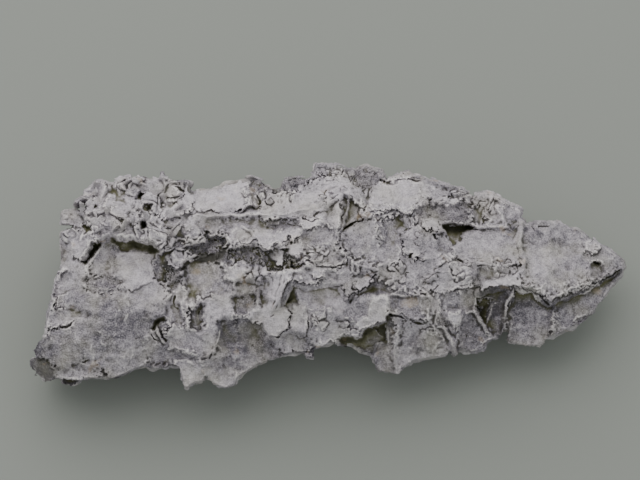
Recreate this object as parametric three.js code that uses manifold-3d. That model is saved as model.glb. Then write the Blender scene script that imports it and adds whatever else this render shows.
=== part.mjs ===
// Quartz pseudomorph: one loose lump of boxwork, lying on its broken base.
// The lump is a long, flattened mass. Thin walls and flakes of quartz stand on it,
// rooted along one edge and broken along the other, over deep open hollows.
// Everything grew together, so it is one solid. Millimetres, +Z up.
import * as THREE from "three";
import { mergeVertices } from "three/addons/utils/BufferGeometryUtils.js";
import Module from "manifold-3d";

const wasm = await Module();
wasm.setup();

// The show face is the side meant to be looked at. Its normal leans forward, this far above flat.
const SHOW_ELEVATION = THREE.MathUtils.degToRad(62);
// Positions on the show face: s runs along the length, t up the face, and the normal out of it.
const ALONG = new THREE.Vector3(1, 0, 0);
const UP_FACE = new THREE.Vector3(0, Math.sin(SHOW_ELEVATION), Math.cos(SHOW_ELEVATION));
const OUT = new THREE.Vector3(0, -Math.cos(SHOW_ELEVATION), Math.sin(SHOW_ELEVATION));
// Where s = 0, t = 0 stands over the ground.
const FACE_ORIGIN = new THREE.Vector3(-2, 10, 19);

const STATION_STEP = 6; // along the mass
const SECTION_POINTS = 16; // round the mass
const MASS_ROUGHNESS = 1.3; // how far the mass's surface wanders in and out
const ROOT = 3; // how deep a wall is rooted in the mass
const SHINGLES = 14; // broken plates on the back
const SHINGLE_SIDES = 5;
const CHIP = 0.5; // detail smaller than this is left out
const RAG_STEP = 9; // spacing of the notches along a broken edge
const RAG = 0.45; // depth of those notches

// The mass, station by station: s, lowest and highest t of its outline on the show face,
// and the lowest and highest z of its section.
const STATIONS = [
  [-71.3, -33.5, -28.5, 5, 12],
  [-69, -35, -22, 3, 20],
  [-65, -35.4, 4, 0.5, 27],
  [-61, -35.6, 9.6, -0.8, 29],
  [-56, -35.4, 13.6, -1.2, 31],
  [-50, -33.6, 14.4, -1.2, 31],
  [-44, -31.2, 14.6, -1, 31],
  [-38, -31.4, 14, -1, 30],
  [-33, -34.6, 12.4, -0.6, 30],
  [-27, -35, 12.2, -0.8, 30],
  [-21, -34.4, 13.4, -1, 31],
  [-17, -30.8, 13.2, -1.2, 31],
  [-12, -29.6, 11.6, -1, 31],
  [-6, -28, 14.2, -1, 32],
  [0, -26.4, 16.6, -1.2, 33],
  [6, -26.8, 17.2, -1.2, 33],
  [12, -28.6, 16.6, -1, 32],
  [17, -32.2, 15.4, -1, 31],
  [22, -30.8, 14.8, -1, 30],
  [28, -28.6, 13.8, -1.2, 29],
  [34, -27.8, 10.8, -1, 28],
  [40, -25.8, 9.2, -0.4, 27],
  [45, -23.4, 8, 1, 26],
  [50, -25, 4, 2.5, 24],
  [56, -24.6, 3.8, 4, 22],
  [62, -21, 2.6, 6, 20],
  [67, -18, 0.4, 8, 18],
  [71, -12.6, -2.4, 10, 17],
  [74.6, -7.4, -4.4, 11.5, 14.5],
];

// Seeded random numbers, so that every build gives the same lump.
function seeded(seed) {
  return () => {
    seed = (seed + 0x6d2b79f5) | 0;
    let v = Math.imul(seed ^ (seed >>> 15), 1 | seed);
    v = (v + Math.imul(v ^ (v >>> 7), 61 | v)) ^ v;
    return ((v ^ (v >>> 14)) >>> 0) / 4294967296;
  };
}
const random = seeded(20);
const between = (low, high) => low + (high - low) * random();

// Smooth noise from -1 to 1, with one bump per unit of length.
function bump(x, y, z) {
  const corner = (i, j, k) => {
    const wave = Math.sin(i * 127.1 + j * 311.7 + k * 74.7) * 43758.5453;
    return 2 * (wave - Math.floor(wave)) - 1;
  };
  const [i, j, k] = [x, y, z].map(Math.floor);
  const [u, v, w] = [x - i, y - j, z - k].map((f) => f * f * (3 - 2 * f));
  const mix = THREE.MathUtils.lerp;
  const layer = (dk) =>
    mix(
      mix(corner(i, j, k + dk), corner(i + 1, j, k + dk), u),
      mix(corner(i, j + 1, k + dk), corner(i + 1, j + 1, k + dk), u),
      v,
    );
  return mix(layer(0), layer(1), w);
}

// The section of the mass at s: an ellipse, centred at (y, z), that fills the outline on the show face.
function sectionAt(s) {
  const last = STATIONS.length - 1;
  let n = STATIONS.findIndex((station) => station[0] > s);
  n = n < 0 ? last : Math.max(n, 1);
  const [before, after] = [STATIONS[n - 1], STATIONS[n]];
  const share = THREE.MathUtils.clamp((s - before[0]) / (after[0] - before[0]), 0, 1);
  const [, low, high, floor, top] = before.map((v, i) => v + (after[i] - v) * share);
  const halfHeight = (top - floor) / 2;
  const halfSpan = (high - low) / 2;
  const risen = halfHeight * Math.cos(SHOW_ELEVATION);
  const halfDepth = Math.sqrt(Math.max(halfSpan ** 2 - risen ** 2, 0.5)) / Math.sin(SHOW_ELEVATION);
  const t = (low + high) / 2;
  const z = (top + floor) / 2;
  const out = (z - FACE_ORIGIN.z - t * UP_FACE.z) / OUT.z;
  const y = FACE_ORIGIN.y + t * UP_FACE.y + out * OUT.y;
  return { y, z, t, out, halfHeight, halfDepth, halfSpan };
}

// How far out of the face plane the mass's surface lies at (s, t).
function massHeight(s, t) {
  const { halfDepth: a, halfHeight: b, halfSpan, t: middle, out } = sectionAt(s);
  const [sin, cos] = [Math.sin(SHOW_ELEVATION), Math.cos(SHOW_ELEVATION)];
  const crown = Math.atan2(b * cos, a * sin);
  const nearest = Math.atan2(b * sin, -a * cos);
  const reach = Math.hypot(a * cos, b * sin);
  const share = THREE.MathUtils.clamp((t - middle) / halfSpan, -0.97, 0.97);
  return out + reach * Math.cos(crown + Math.acos(share) - nearest);
}

function onFace(s, t, out) {
  return FACE_ORIGIN.clone()
    .addScaledVector(ALONG, s)
    .addScaledVector(UP_FACE, t)
    .addScaledVector(OUT, out);
}

// A closed solid from points and triangles.
function solidOf(points, triangles) {
  const geometry = new THREE.BufferGeometry().setFromPoints(points);
  geometry.setIndex(triangles.flat());
  const merged = mergeVertices(geometry, 1e-4);
  return new wasm.Manifold(
    new wasm.Mesh({
      numProp: 3,
      vertProperties: merged.getAttribute("position").array,
      triVerts: new Uint32Array(merged.index.array),
    }),
  );
}

// The mass: rough elliptical sections joined from end to end, closed with a fan at each end.
function makeMass() {
  const [first, last] = [STATIONS[0][0], STATIONS.at(-1)[0]];
  const count = Math.round((last - first) / STATION_STEP);
  const points = [];
  const triangles = [];
  for (let n = 0; n <= count; n++) {
    const s = first + ((last - first) * n) / count;
    const { y, z, halfDepth, halfHeight } = sectionAt(s);
    for (let m = 0; m < SECTION_POINTS; m++) {
      const angle = ((m + (n % 2) / 2) / SECTION_POINTS) * 2 * Math.PI;
      const [cos, sin] = [Math.cos(angle), Math.sin(angle)];
      const broad = bump(s / 9, (y + halfDepth * cos) / 8, (z + halfHeight * sin) / 8);
      const fine = bump(s / 4 + 40, (y + halfDepth * cos) / 4, (z + halfHeight * sin) / 4);
      const wander = Math.min(MASS_ROUGHNESS, halfHeight / 4) * (broad + 0.6 * fine - 0.35);
      points.push(
        new THREE.Vector3(s, y + (halfDepth + wander) * cos, z + (halfHeight + wander) * sin),
      );
    }
  }
  for (let n = 0; n < count; n++)
    for (let m = 0; m < SECTION_POINTS; m++) {
      const next = (m + 1) % SECTION_POINTS;
      const [a, b] = [n * SECTION_POINTS + m, n * SECTION_POINTS + next];
      const [c, d] = [a + SECTION_POINTS, b + SECTION_POINTS];
      if (n % 2) triangles.push([a, b, d], [a, d, c]);
      else triangles.push([a, b, c], [b, d, c]);
    }
  for (const [n, flip] of [[0, true], [count, false]]) {
    const section = sectionAt(n ? last : first);
    const hub = points.push(new THREE.Vector3(n ? last : first, section.y, section.z)) - 1;
    for (let m = 0; m < SECTION_POINTS; m++) {
      const [a, b] = [n * SECTION_POINTS + m, n * SECTION_POINTS + ((m + 1) % SECTION_POINTS)];
      triangles.push(flip ? [hub, b, a] : [hub, a, b]);
    }
  }
  return solidOf(points, triangles);
}

// A broken outline: corners with ragged notches between them.
function ragged(corners, rag) {
  const out = [];
  corners.forEach(([s, t], i) => {
    const [toS, toT] = corners[(i + 1) % corners.length];
    const length = Math.hypot(toS - s, toT - t);
    const steps = Math.max(1, Math.round(length / RAG_STEP));
    for (let k = 0; k < steps; k++) {
      const off = k ? between(-rag, rag) : 0;
      const share = (k + (k ? between(-0.2, 0.2) : 0)) / steps;
      out.push(
        new THREE.Vector2(
          s + (toS - s) * share - ((toT - t) / length) * off,
          t + (toT - t) * share + ((toS - s) / length) * off,
        ),
      );
    }
  });
  return out;
}

// A wall or flake on the show face, with a flat top. Its corners are given as (s, t). It stands
// `base` over the mass at one side and rises to `lift` at the other, which lies towards `free`, in
// degrees. It narrows to `foot` of its size at the root, which is buried, so its edges overhang.
function wall(corners, { free = -90, lift = 3, base = -1, foot = 0.8, rag = RAG } = {}) {
  const outline = ragged(corners, rag);
  if (THREE.ShapeUtils.isClockWise(outline)) outline.reverse();
  const middle = outline.reduce((sum, p) => sum.add(p), new THREE.Vector2());
  middle.divideScalar(outline.length);
  const angle = THREE.MathUtils.degToRad(free);
  const way = new THREE.Vector2(Math.cos(angle), Math.sin(angle));
  const across = new THREE.Vector2(-way.y, way.x);
  const axes = [way, across].map((axis) => {
    const along = outline.map((p) => p.clone().sub(middle).dot(axis));
    const [near, far] = [Math.min(...along), Math.max(...along)];
    const reach = (far - near) / 3;
    const [up, down] = [1, -1].map((side) => middle.clone().addScaledVector(axis, side * reach));
    const slope = (massHeight(up.x, up.y) - massHeight(down.x, down.y)) / (2 * reach);
    return { axis, slope, near, far };
  });
  axes[0].slope += (lift - base) / (axes[0].far - axes[0].near);
  const level = massHeight(middle.x, middle.y) + base;
  const rise = (-axes[0].near * (lift - base)) / (axes[0].far - axes[0].near);
  const crest = outline.map((p) => {
    const from = p.clone().sub(middle);
    const sloped = axes.reduce((sum, { axis, slope }) => sum + slope * from.dot(axis), 0);
    return onFace(p.x, p.y, level + rise + sloped);
  });
  const root = outline.map((p) => {
    const { x, y } = middle.clone().lerp(p, foot);
    return onFace(x, y, massHeight(x, y) + Math.min(base, 0) - ROOT);
  });
  const n = outline.length;
  const triangles = THREE.ShapeUtils.triangulateShape(outline, []).flatMap(([i, j, k]) => [
    [i, j, k],
    [n + i, n + k, n + j],
  ]);
  for (let i = 0; i < n; i++) {
    const j = (i + 1) % n;
    triangles.push([i, n + i, n + j], [i, n + j, j]);
  }
  return solidOf([...crest, ...root], triangles);
}

// An open hollow: centre (s, t), half length and half width on the face, depth, and turn in degrees.
function hollow(s, t, halfLength, halfWidth, depth, turn = 0) {
  const lump =
    halfLength < 3
      ? new THREE.OctahedronGeometry(1.1)
      : new THREE.IcosahedronGeometry(1, halfLength > 5 ? 1 : 0);
  lump.deleteAttribute("normal");
  lump.deleteAttribute("uv");
  const merged = mergeVertices(lump, 1e-4);
  const at = merged.getAttribute("position");
  const points = [];
  const angle = THREE.MathUtils.degToRad(turn);
  for (let i = 0; i < at.count; i++) {
    const swell = between(0.88, 1.15);
    const [a, b] = [at.getX(i) * halfLength * swell, at.getY(i) * halfWidth * swell];
    points.push(
      onFace(
        s + a * Math.cos(angle) - b * Math.sin(angle),
        t + a * Math.sin(angle) + b * Math.cos(angle),
        massHeight(s, t) + 1 + at.getZ(i) * (depth + 1) * swell,
      ),
    );
  }
  const index = [...merged.index.array];
  const triangles = [];
  for (let i = 0; i < index.length; i += 3) triangles.push(index.slice(i, i + 3));
  return solidOf(points, triangles);
}

// A broken plate on the back, like a shingle: station s, angle round the section in degrees, half
// width, how far it stands proud, and its tilt.
function shingle(s, round, size, proud, tilt) {
  const { y, z, halfDepth, halfHeight } = sectionAt(s);
  const angle = THREE.MathUtils.degToRad(round);
  const [cos, sin] = [Math.cos(angle), Math.sin(angle)];
  const seat = new THREE.Vector3(s, y + halfDepth * cos, z + halfHeight * sin);
  const normal = new THREE.Vector3(0, cos / halfDepth, sin / halfHeight).normalize();
  const upright = new THREE.Vector3(0, 0, 1);
  const turn = new THREE.Quaternion()
    .setFromUnitVectors(upright, normal)
    .multiply(new THREE.Quaternion().setFromAxisAngle(upright, between(0, 2 * Math.PI)))
    .multiply(new THREE.Quaternion().setFromAxisAngle(ALONG, THREE.MathUtils.degToRad(tilt)));
  const ways = [];
  for (let i = 0; i < SHINGLE_SIDES; i++)
    ways.push([((i + between(-0.3, 0.3)) / SHINGLE_SIDES) * 2 * Math.PI, size * between(0.7, 1.2)]);
  const ring = (level, share) =>
    ways.map(([way, reach]) =>
      new THREE.Vector3(share * reach * Math.cos(way), share * reach * Math.sin(way), level)
        .applyQuaternion(turn)
        .add(seat),
    );
  const triangles = [];
  for (let i = 0; i < SHINGLE_SIDES; i++) {
    const j = (i + 1) % SHINGLE_SIDES;
    if (i && j) triangles.push([0, i, j], [SHINGLE_SIDES, SHINGLE_SIDES + j, SHINGLE_SIDES + i]);
    triangles.push([i, SHINGLE_SIDES + i, SHINGLE_SIDES + j], [i, SHINGLE_SIDES + j, j]);
  }
  return solidOf([...ring(proud, 1), ...ring(-ROOT, 0.8)], triangles);
}

// Hollows in the mass: s, t, half length, half width, depth, turn.
const HOLLOWS = [
  // pits among the small blades at the upper left
  [-57.3, 9.4, 1.5, 1.1, 4],
  [-57.8, 3.2, 2.4, 1.5, 5, 20],
  [-54.6, 5.3, 1.8, 0.8, 3, -15],
  [-48.4, 4.2, 2.4, 1.2, 4],
  [-43.8, 3.6, 1.4, 0.8, 5],
  [-43, 7.6, 1.5, 2, 4],
  [-45.2, 10.6, 1.6, 0.8, 4, 25],
  [-41, 12.2, 1.5, 1.2, 4, 30],
  [-35.6, 12.6, 1.5, 0.6, 4, -15],
  // the long recess under the upper-left overhang, its side slot and its gutter
  [-49, -5.2, 9.4, 5, 5.5],
  [-56.8, -3.8, 3.6, 1.2, 7, 55],
  [-51.2, -4.6, 3.8, 1, 8, 88],
  [-55.6, -13, 2.2, 0.8, 4, -20],
  // the long slot across the middle
  [-28.4, -2.2, 5.8, 2.1, 7, 12],
  [-35.4, -7, 2.4, 1.6, 6, 10],
  [-36.2, -9.6, 1.6, 2.4, 5],
  [-20.6, -3.8, 2.4, 1.4, 5.5],
  [-14.4, -4.4, 4.6, 2, 6, -10],
  [-6.9, -4.4, 2.8, 2.9, 9],
  [-2.4, -2.9, 2.4, 0.7, 4],
  [-9.4, 3.8, 4.4, 1.8, 3, -6],
  // the small slots of the middle
  [-38.9, -21.8, 3.4, 1.2, 6, -62],
  [-14.3, -14.8, 2, 0.7, 5, 80],
  [-15.6, -17.4, 2, 0.8, 4, 60],
  [-1.5, -14.4, 8.6, 4.4, 3.6, 8],
  [-19, -24, 5.4, 4.2, 1.6],
  [8.2, -12.4, 2.6, 0.8, 5, 80],
  [12.2, -11, 3, 0.8, 3, 42],
  [11.6, 10, 2.8, 0.9, 6, 62],
  [7, 3.6, 2.2, 0.7, 5, 40],
  [1, -6.6, 2.4, 0.6, 4, 8],
  // the cave below the middle, and the one under the right-hand blade
  [14.4, -24.6, 5.6, 4.2, 7, -25],
  [7.4, -25.6, 3.4, 1.6, 5],
  [42, -14.4, 4, 2.8, 8, 20],
  [40.4, -18.4, 3, 1.6, 7, 70],
  [47.3, -18.2, 5.4, 0.9, 6, 75],
  [54, -14.6, 8, 1.8, 4, -8],
  [64, -13, 8, 1.5, 4, 20],
  // pits near the upper right
  [33.8, 1.6, 3, 1.8, 6],
  [37.4, 3, 4.6, 0.8, 4],
  [47, 3.2, 1.2, 1.4, 6],
  [51, 3, 1, 0.6, 4],
  [69.2, -6.1, 1.9, 1.5, 4],
  [22.4, 3.2, 1.6, 0.8, 4, 50],
];

// Walls on the show face, from left to right, each a list of corners and how it stands.
const WALLS = [
  // upper left: the overhang above the long recess, and the larger blades round it
  [[[-65, 7.2], [-59, 7.4], [-54, 6], [-57.5, 4.2], [-64.6, 3.4]], { free: 180, lift: 2.5 }],
  [[[-62, 9.4], [-58.5, 11.6], [-55.6, 10.4], [-58.6, 10.2], [-61, 7.8]], { free: 120, lift: 2 }],
  [[[-53.4, 4.6], [-46, 6.4], [-44.6, 1], [-45.8, -0.6], [-48, -0.2], [-49, -0.8], [-51.4, 1], [-53.4, 1.6]],
    { lift: 4.5 }],
  [[[-57, 3], [-52.8, 4.4], [-51.6, 1.2], [-53.4, -0.4], [-56.6, 0]], { free: -70, lift: 3.5 }],
  [[[-53.4, 8.4], [-45.6, 10], [-45, 6.6], [-52.4, 5.4]], { lift: 4 }],
  [[[-52, 12.4], [-48.2, 12], [-46.4, 9.8], [-52, 8.6], [-54.6, 10.6]], { free: 80, lift: 3 }],
  [[[-46.8, 10], [-45.2, 10.4], [-44, 0.6], [-45.8, 0]], { free: 0, lift: 5 }],
  [[[-42.6, 5.2], [-38.4, 4.8], [-36.4, 0], [-38.6, -2.8], [-42.4, -0.4]], { free: -60, lift: 5.5 }],
  [[[-39.4, 7.4], [-36, 9.6], [-34, 11.2], [-32.4, 8], [-34.6, 6], [-38.6, 5.6]], { free: -50, lift: 4.5 }],
  [[[-37, 4.6], [-31.4, 5], [-29.6, 1.2], [-32, -1], [-36, 0.4]], { free: -45, lift: 4.5 }],
  [[[-50.2, 15.8], [-46, 15.2], [-45, 12.4], [-49, 12.4]], { free: 100, lift: 2.5 }],
  [[[-45.6, 16.6], [-43.4, 14.4], [-44.6, 11], [-46.6, 12.6]], { free: 60, lift: 4 }],
  [[[-42.4, 14], [-40.2, 16], [-39.4, 17.8], [-38.6, 15.4], [-40, 12.4]], { free: 90, lift: 3.5 }],
  [[[-38.4, 15.2], [-32.6, 13.6], [-33.6, 12.4], [-38.2, 13]], { free: 90, lift: 3 }],
  [[[-39.4, 12.2], [-36, 12.6], [-34.2, 9.8], [-38, 9]], { free: 130, lift: 3.5 }],
  [[[-68, 0.2], [-64.6, 0.6], [-64.8, -6.8], [-67.6, -6.4]], { free: 0, lift: 1, base: 0 }],
  [[[-64.4, 2.2], [-60.8, 3], [-60.4, -3.8], [-64, -6.6]], { free: 180, lift: 1.5 }],
  [[[-60.6, 0.6], [-57, 0.2], [-55.8, -1.3], [-59.4, -5.2], [-60.8, -3]], { free: -30, lift: 4 }],
  // the smooth back walls inside the long recess
  [[[-55.4, -1.4], [-52, -0.8], [-52, -3.4], [-53, -7.6], [-56.2, -8], [-57.2, -6]],
    { free: 0, lift: -2, base: -3.4, rag: 0.1 }],
  [[[-49.6, -1.8], [-40.6, -1.4], [-39.6, -11], [-42.6, -11.2], [-46, -12.6], [-49.2, -10]],
    { lift: 0.6, base: -3.8, rag: 0.15 }],
  [[[-57.2, -9.8], [-52, -8.6], [-48.6, -9.2], [-50.6, -12], [-54, -12.4]], { free: -130, lift: 3 }],
  // lower left: the broad slab and the flaps along its edges
  [[[-64.4, -7.6], [-58, -6.6], [-57, -9.6], [-58, -13.4], [-64.2, -12.6], [-63.4, -10]],
    { free: 180, lift: 1.4, rag: 0.3 }],
  [[[-64.6, -12.6], [-57.6, -13.6], [-52, -14], [-47.6, -17], [-48, -21], [-55, -20], [-60, -18], [-66.4, -19.4]],
    { lift: 2.4, base: -0.6, rag: 0.25 }],
  [[[-67, -22.4], [-60, -20.4], [-57.4, -17.6], [-62, -17.8], [-66.4, -19.8]], { free: -60, lift: 2.6 }],
  [[[-67, -22.6], [-60, -21], [-52, -20.6], [-47.8, -24], [-47.4, -28], [-53, -28.6], [-58, -29.6], [-62, -32.6],
    [-69, -29.6], [-70.6, -27]], { lift: 2, base: 0.2, rag: 0.2 }],
  [[[-71.6, -29], [-66, -30.2], [-62.8, -33.4], [-68.8, -35.6], [-71, -33]],
    { free: 100, lift: 1, base: -2 }],
  [[[-63.4, -34], [-59, -30.6], [-56, -29.2], [-54.4, -31], [-52.4, -33], [-57, -33.8], [-61, -36], [-63.4, -35.6]],
    { lift: 4, base: 0 }],
  [[[-52, -29], [-47.6, -27], [-40, -25], [-36, -28], [-37.6, -31.8], [-41, -32], [-43.6, -31.2], [-45.6, -32.4],
    [-51, -34.6]], { lift: 4, base: -0.4 }],
  [[[-48, -12.8], [-41.6, -11.2], [-37.6, -12.6], [-37, -17.4], [-41, -19.4], [-47, -17.4]],
    { free: -45, lift: 1.6, base: -0.6 }],
  [[[-47, -18], [-42, -19.6], [-40.4, -22.2], [-41.4, -26.4], [-46, -27.2], [-47.6, -23]],
    { free: 0, lift: 1.8, base: -0.6 }],
  [[[-38, -22.2], [-34, -20.2], [-33.6, -22], [-36, -23.8], [-38, -23.4]], { free: 140, lift: 2.4 }],
  // the ragged rib left of the middle, and the tall concave panels beside it
  [[[-31, -5.2], [-32, -7.6], [-34.4, -11], [-37.6, -13.6], [-38.6, -11.6], [-35.4, -8.2], [-33, -5.4]],
    { free: 140, lift: 4, base: 0 }],
  [[[-31.6, -6.6], [-24, -5.4], [-21.4, -7.6], [-21, -13.4], [-26, -14.6], [-31.6, -12.6]],
    { free: 0, lift: 1, base: -2.2, rag: 0.2 }],
  [[[-33.2, -13], [-29.6, -14], [-28.6, -17.4], [-30, -21.6], [-32, -22], [-34, -17]],
    { free: 180, lift: 2.2, base: -1.4, rag: 0.25 }],
  [[[-28.6, -14.6], [-22, -14.6], [-20.6, -19.4], [-24, -21], [-25, -25], [-27, -30.2], [-28.6, -31.6], [-32, -28],
    [-33.4, -24], [-29.6, -20]], { free: -30, lift: 2.8, base: -0.4, rag: 0.25 }],
  [[[-40.6, -24.6], [-36.6, -24.2], [-33, -23], [-31, -28], [-35.4, -30.4], [-37.4, -28.4]],
    { free: -60, lift: 1.8, base: -0.6 }],
  [[[-34.6, -30.2], [-31, -28.6], [-27.8, -31.4], [-28.4, -35], [-31, -35.4], [-33, -37.2], [-34, -35.6]],
    { free: -110, lift: 3.6, base: 0 }],
  [[[-27, -30], [-21, -29], [-15, -29.4], [-17, -31.4], [-19.4, -33], [-20.8, -35.6], [-22.8, -36.8], [-25.6, -36],
    [-27.6, -34]], { lift: 1.6, base: -0.6 }],
  [[[-21.4, -6.8], [-17.8, -8.6], [-18.2, -11], [-20.4, -10.8], [-21.6, -9]], { lift: 2.4 }],
  [[[-17.6, -8.6], [-14.4, -8.6], [-10.6, -9], [-10.4, -12.8], [-13.6, -12.4], [-15.4, -14.6], [-20.2, -14.4],
    [-20.6, -11.2]], { free: 30, lift: 1.8, base: -0.6, rag: 0.3 }],
  [[[-22.6, -8], [-20.8, -8.4], [-19.6, -14.6], [-21.4, -15]], { free: 0, lift: 2.4, base: 0.6 }],
  // the middle: the curled beak and the bowl behind it
  [[[-10.6, -8.4], [-8, -7.2], [-6.2, -9.6], [-8.2, -12], [-9.6, -15], [-12.4, -21.2], [-12, -17], [-11.2, -12]],
    { free: 20, lift: 4.6, base: 0.4, rag: 0.2 }],
  [[[-7.6, -8], [-2, -7.4], [2.2, -8.8], [1.6, -10], [-3, -11], [-6.4, -10.4]],
    { lift: 4.2, base: 1, rag: 0.2 }],
  [[[-5, -12], [1.4, -11.4], [7, -10], [7.6, -15.8], [4.4, -18.8], [-2, -18]],
    { free: 0, lift: 0.8, base: -2.8, rag: 0.2 }],
  [[[-12, -18.4], [-7.8, -17.8], [-6.8, -19.4], [-8, -20.6], [-7.4, -22], [-11, -23.6], [-12.4, -21.2]],
    { lift: 3, base: 0.2 }],
  [[[-6, -17.8], [-3, -17.8], [-2.6, -20.4], [-4, -22.4], [-4.2, -24.6], [-6.4, -24.2], [-7, -21]],
    { free: -70, lift: 2.8, base: 0.2 }],
  [[[-3, -19.4], [2, -20.8], [6, -20.8], [10.4, -22.8], [9, -24.2], [6, -23.2], [4.6, -25], [2, -25.4], [-1, -27.2],
    [-1.2, -22]], { lift: 4, base: -0.4 }],
  [[[-9.6, -24], [-1, -24.8], [-1, -27.4], [-5, -27.6], [-9.2, -28]], { lift: 2.6 }],
  [[[-4.6, -27], [-1.6, -27.4], [-1.2, -29.6], [-3.8, -29.6]], { lift: 2, base: 0 }],
  // right of the middle: the shelf over the cave, the smooth tongue and the hanging lobes
  [[[5, -17.4], [10, -15.2], [12.6, -15.4], [16.6, -13.8], [17.4, -16.4], [16.6, -19], [13, -20.8], [11, -23],
    [6, -21]], { free: -40, lift: 5.5, base: -0.4 }],
  [[[9.4, -12.6], [14, -9.2], [17, -9.4], [17.4, -13], [12.6, -15.2], [9, -15.2]],
    { free: 60, lift: 0.8, base: -1.6 }],
  [[[7.6, -7.6], [13.8, -8.2], [12.2, -10.8], [9.4, -13], [7.6, -11]], { free: -50, lift: 3.6 }],
  [[[17.2, -14.4], [24, -13.2], [28, -14.6], [28, -20], [24, -19.6], [17.6, -18.2]],
    { lift: 5, base: 0.4, rag: 0.2 }],
  [[[18.4, -20.6], [25, -19], [30, -21], [32, -25], [31.6, -28.8], [26, -28.6], [22.6, -29.8], [21, -32],
    [18.8, -31], [17.8, -24]], { free: 60, lift: 1.8, base: -0.6, rag: 0.3 }],
  [[[18, -20], [20.4, -20], [20.4, -30], [19.6, -34.4], [18.4, -32]],
    { free: 0, lift: 3, base: 0.6, rag: 0.3 }],
  [[[12.4, -28.2], [18, -26], [19, -33.4], [17, -33], [14.2, -32.6]], { free: 0, lift: 1.6 }],
  [[[27.6, -20], [30.6, -21.2], [32.6, -25], [34.8, -28.6], [33.2, -29], [31, -25.2], [29.4, -22.4]],
    { free: 0, lift: 4.2, base: 1, rag: 0.2 }],
  [[[32.2, -18.8], [34.4, -18.4], [33.8, -21], [35, -22.2], [32.6, -22.4]], { lift: 4.6 }],
  [[[34.4, -19.2], [38, -17], [41, -21], [42, -24], [40.6, -27], [36, -28.4], [33.8, -25]],
    { free: 60, lift: 1.8, base: -0.6 }],
  [[[30, -16], [37, -11.6], [39.4, -12.6], [39, -15.6], [33, -18.4]], { free: 120, lift: 2.4, base: -0.4 }],
  [[[17, -12.4], [18, -5.4], [23, -4.6], [30, -5], [32, -8], [30, -13], [25, -12.6], [20, -12]],
    { lift: 1.6, base: 0, rag: 0.2 }],
  [[[28, -5], [35.8, -4.4], [35.2, -8], [31, -12], [28.4, -14.6]], { free: -20, lift: 2.6, base: -0.2 }],
  // the top of the middle: bright roofs that lean back, over the long slot
  [[[-31.6, 12.2], [-25.6, 13], [-24, 14.8], [-17.4, 15.6], [-16.8, 13], [-15.6, 10.6], [-16.2, 8.4], [-19.4, 7.2],
    [-22, 6.2], [-26, 7.2], [-30, 8.2]], { free: -60, lift: 4.4, base: -0.6 }],
  [[[-18.4, 17], [-16, 16.2], [-12.4, 13.8], [-10, 12.2], [-11, 10], [-16, 10]],
    { free: 80, lift: 0.4, base: -1.4 }],
  [[[-14.2, 7.4], [-13.2, 10.2], [-11.4, 11.2], [-7, 11.6], [-5.4, 13], [-1, 14.8], [3, 15.6], [5, 12.4], [3, 10],
    [-3, 8.2]], { free: 130, lift: 3.8, base: 0.6 }],
  [[[-10, 12.4], [-9, 15.4], [-5, 16.2], [-2, 15.2], [-6, 12.4]], { free: 100, lift: 1.4, base: -0.6 }],
  [[[-31, 6.4], [-28, 7.4], [-16, 6.8], [-7, 8.4], [3, 10.6], [8, 10.2], [6, 6.8], [-3, 5.4], [-14, 5.4],
    [-20, 4.4], [-28, 4]], { lift: 3.6, base: 0.2, rag: 0.2 }],
  [[[-28, 3], [-20, 4.2], [-17, 1], [-16.4, -1], [-19, -2.2], [-22.4, -0.6], [-23.4, 1], [-27.6, 0.8]],
    { lift: 5, base: 0.4 }],
  [[[-16, 2.6], [-10, 1.8], [-8.4, 0.6], [-8, -1], [-11, -1.6], [-13.4, -2.4], [-15.6, -1]], { lift: 5.5, base: 0 }],
  [[[-4.6, 4.4], [-1, 5], [0.8, 4.6], [-0.4, 3.4], [-4.2, 3]], { lift: 4 }],
  [[[-12, -2.4], [-9.8, -2.6], [-8.8, -5], [-9.8, -6], [-10.8, -4.4]], { free: -60, lift: 5, base: 0 }],
  [[[-6.4, -0.6], [-4.2, -1], [-4.4, -3.2], [-6.4, -3.4]], { lift: 5.4, base: 0.6 }],
  [[[-2.6, -3.6], [1, -3], [6, -4.8], [4.4, -6.6], [0.6, -6.8], [-2, -5.2]], { free: -60, lift: 3.6 }],
  [[[-4.2, 3], [1.4, 4.4], [2.6, 7], [5, 6.6], [4.8, 2], [2, -0.6], [-3, -0.6]],
    { free: 150, lift: 2, base: -0.4 }],
  [[[5.4, 9], [7.4, 9.4], [6.6, 5.6], [5.6, 2.6], [5, 5.4]], { free: 0, lift: 4.4, base: 2, rag: 0.2 }],
  [[[8, 8.6], [10.6, 7.6], [10.2, 5.2], [7.4, 5]], { free: 180, lift: 1.4 }],
  [[[5.4, 1.4], [8, 4.2], [11.8, 5], [12.6, 0], [12, -3.6], [6, -4.2], [5.2, -1]],
    { free: 100, lift: 2.4, base: 0, rag: 0.2 }],
  [[[-6, 15.4], [0, 17.6], [4, 18.8], [8, 18.2], [6, 15], [-2, 14]], { free: 90, lift: 0.4, base: -1.4 }],
  [[[8, 18.2], [14, 17.6], [17.2, 16.4], [14.6, 14], [12, 12.6], [9.4, 13.4], [7.8, 15.6]],
    { free: 90, lift: 1.6 }],
  [[[3.4, 15.8], [8.2, 15.4], [9.8, 12.4], [10.6, 8.6], [6, 9.8], [4.6, 12.2]], { free: -20, lift: 3.6, base: 0 }],
  // upper right: the smooth plate, the knob beside it and the shelves round the pits
  [[[12.4, 7.2], [15.4, 12.4], [17, 13.8], [20, 14.2], [26, 14.2], [28.2, 13.2], [27.6, 10], [25, 8], [20, 6.2]],
    { free: 80, lift: 3.6, base: 0.6, rag: 0.3 }],
  [[[16.8, 16.4], [26, 16], [31, 14.4], [34, 12.2], [31, 12], [20, 14.6]], { free: 90, lift: 0, base: -1.4 }],
  [[[12.4, 5.8], [20.4, 5.8], [21.2, 1], [19.6, -3.2], [13.4, -3], [12.8, 2]],
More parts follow.
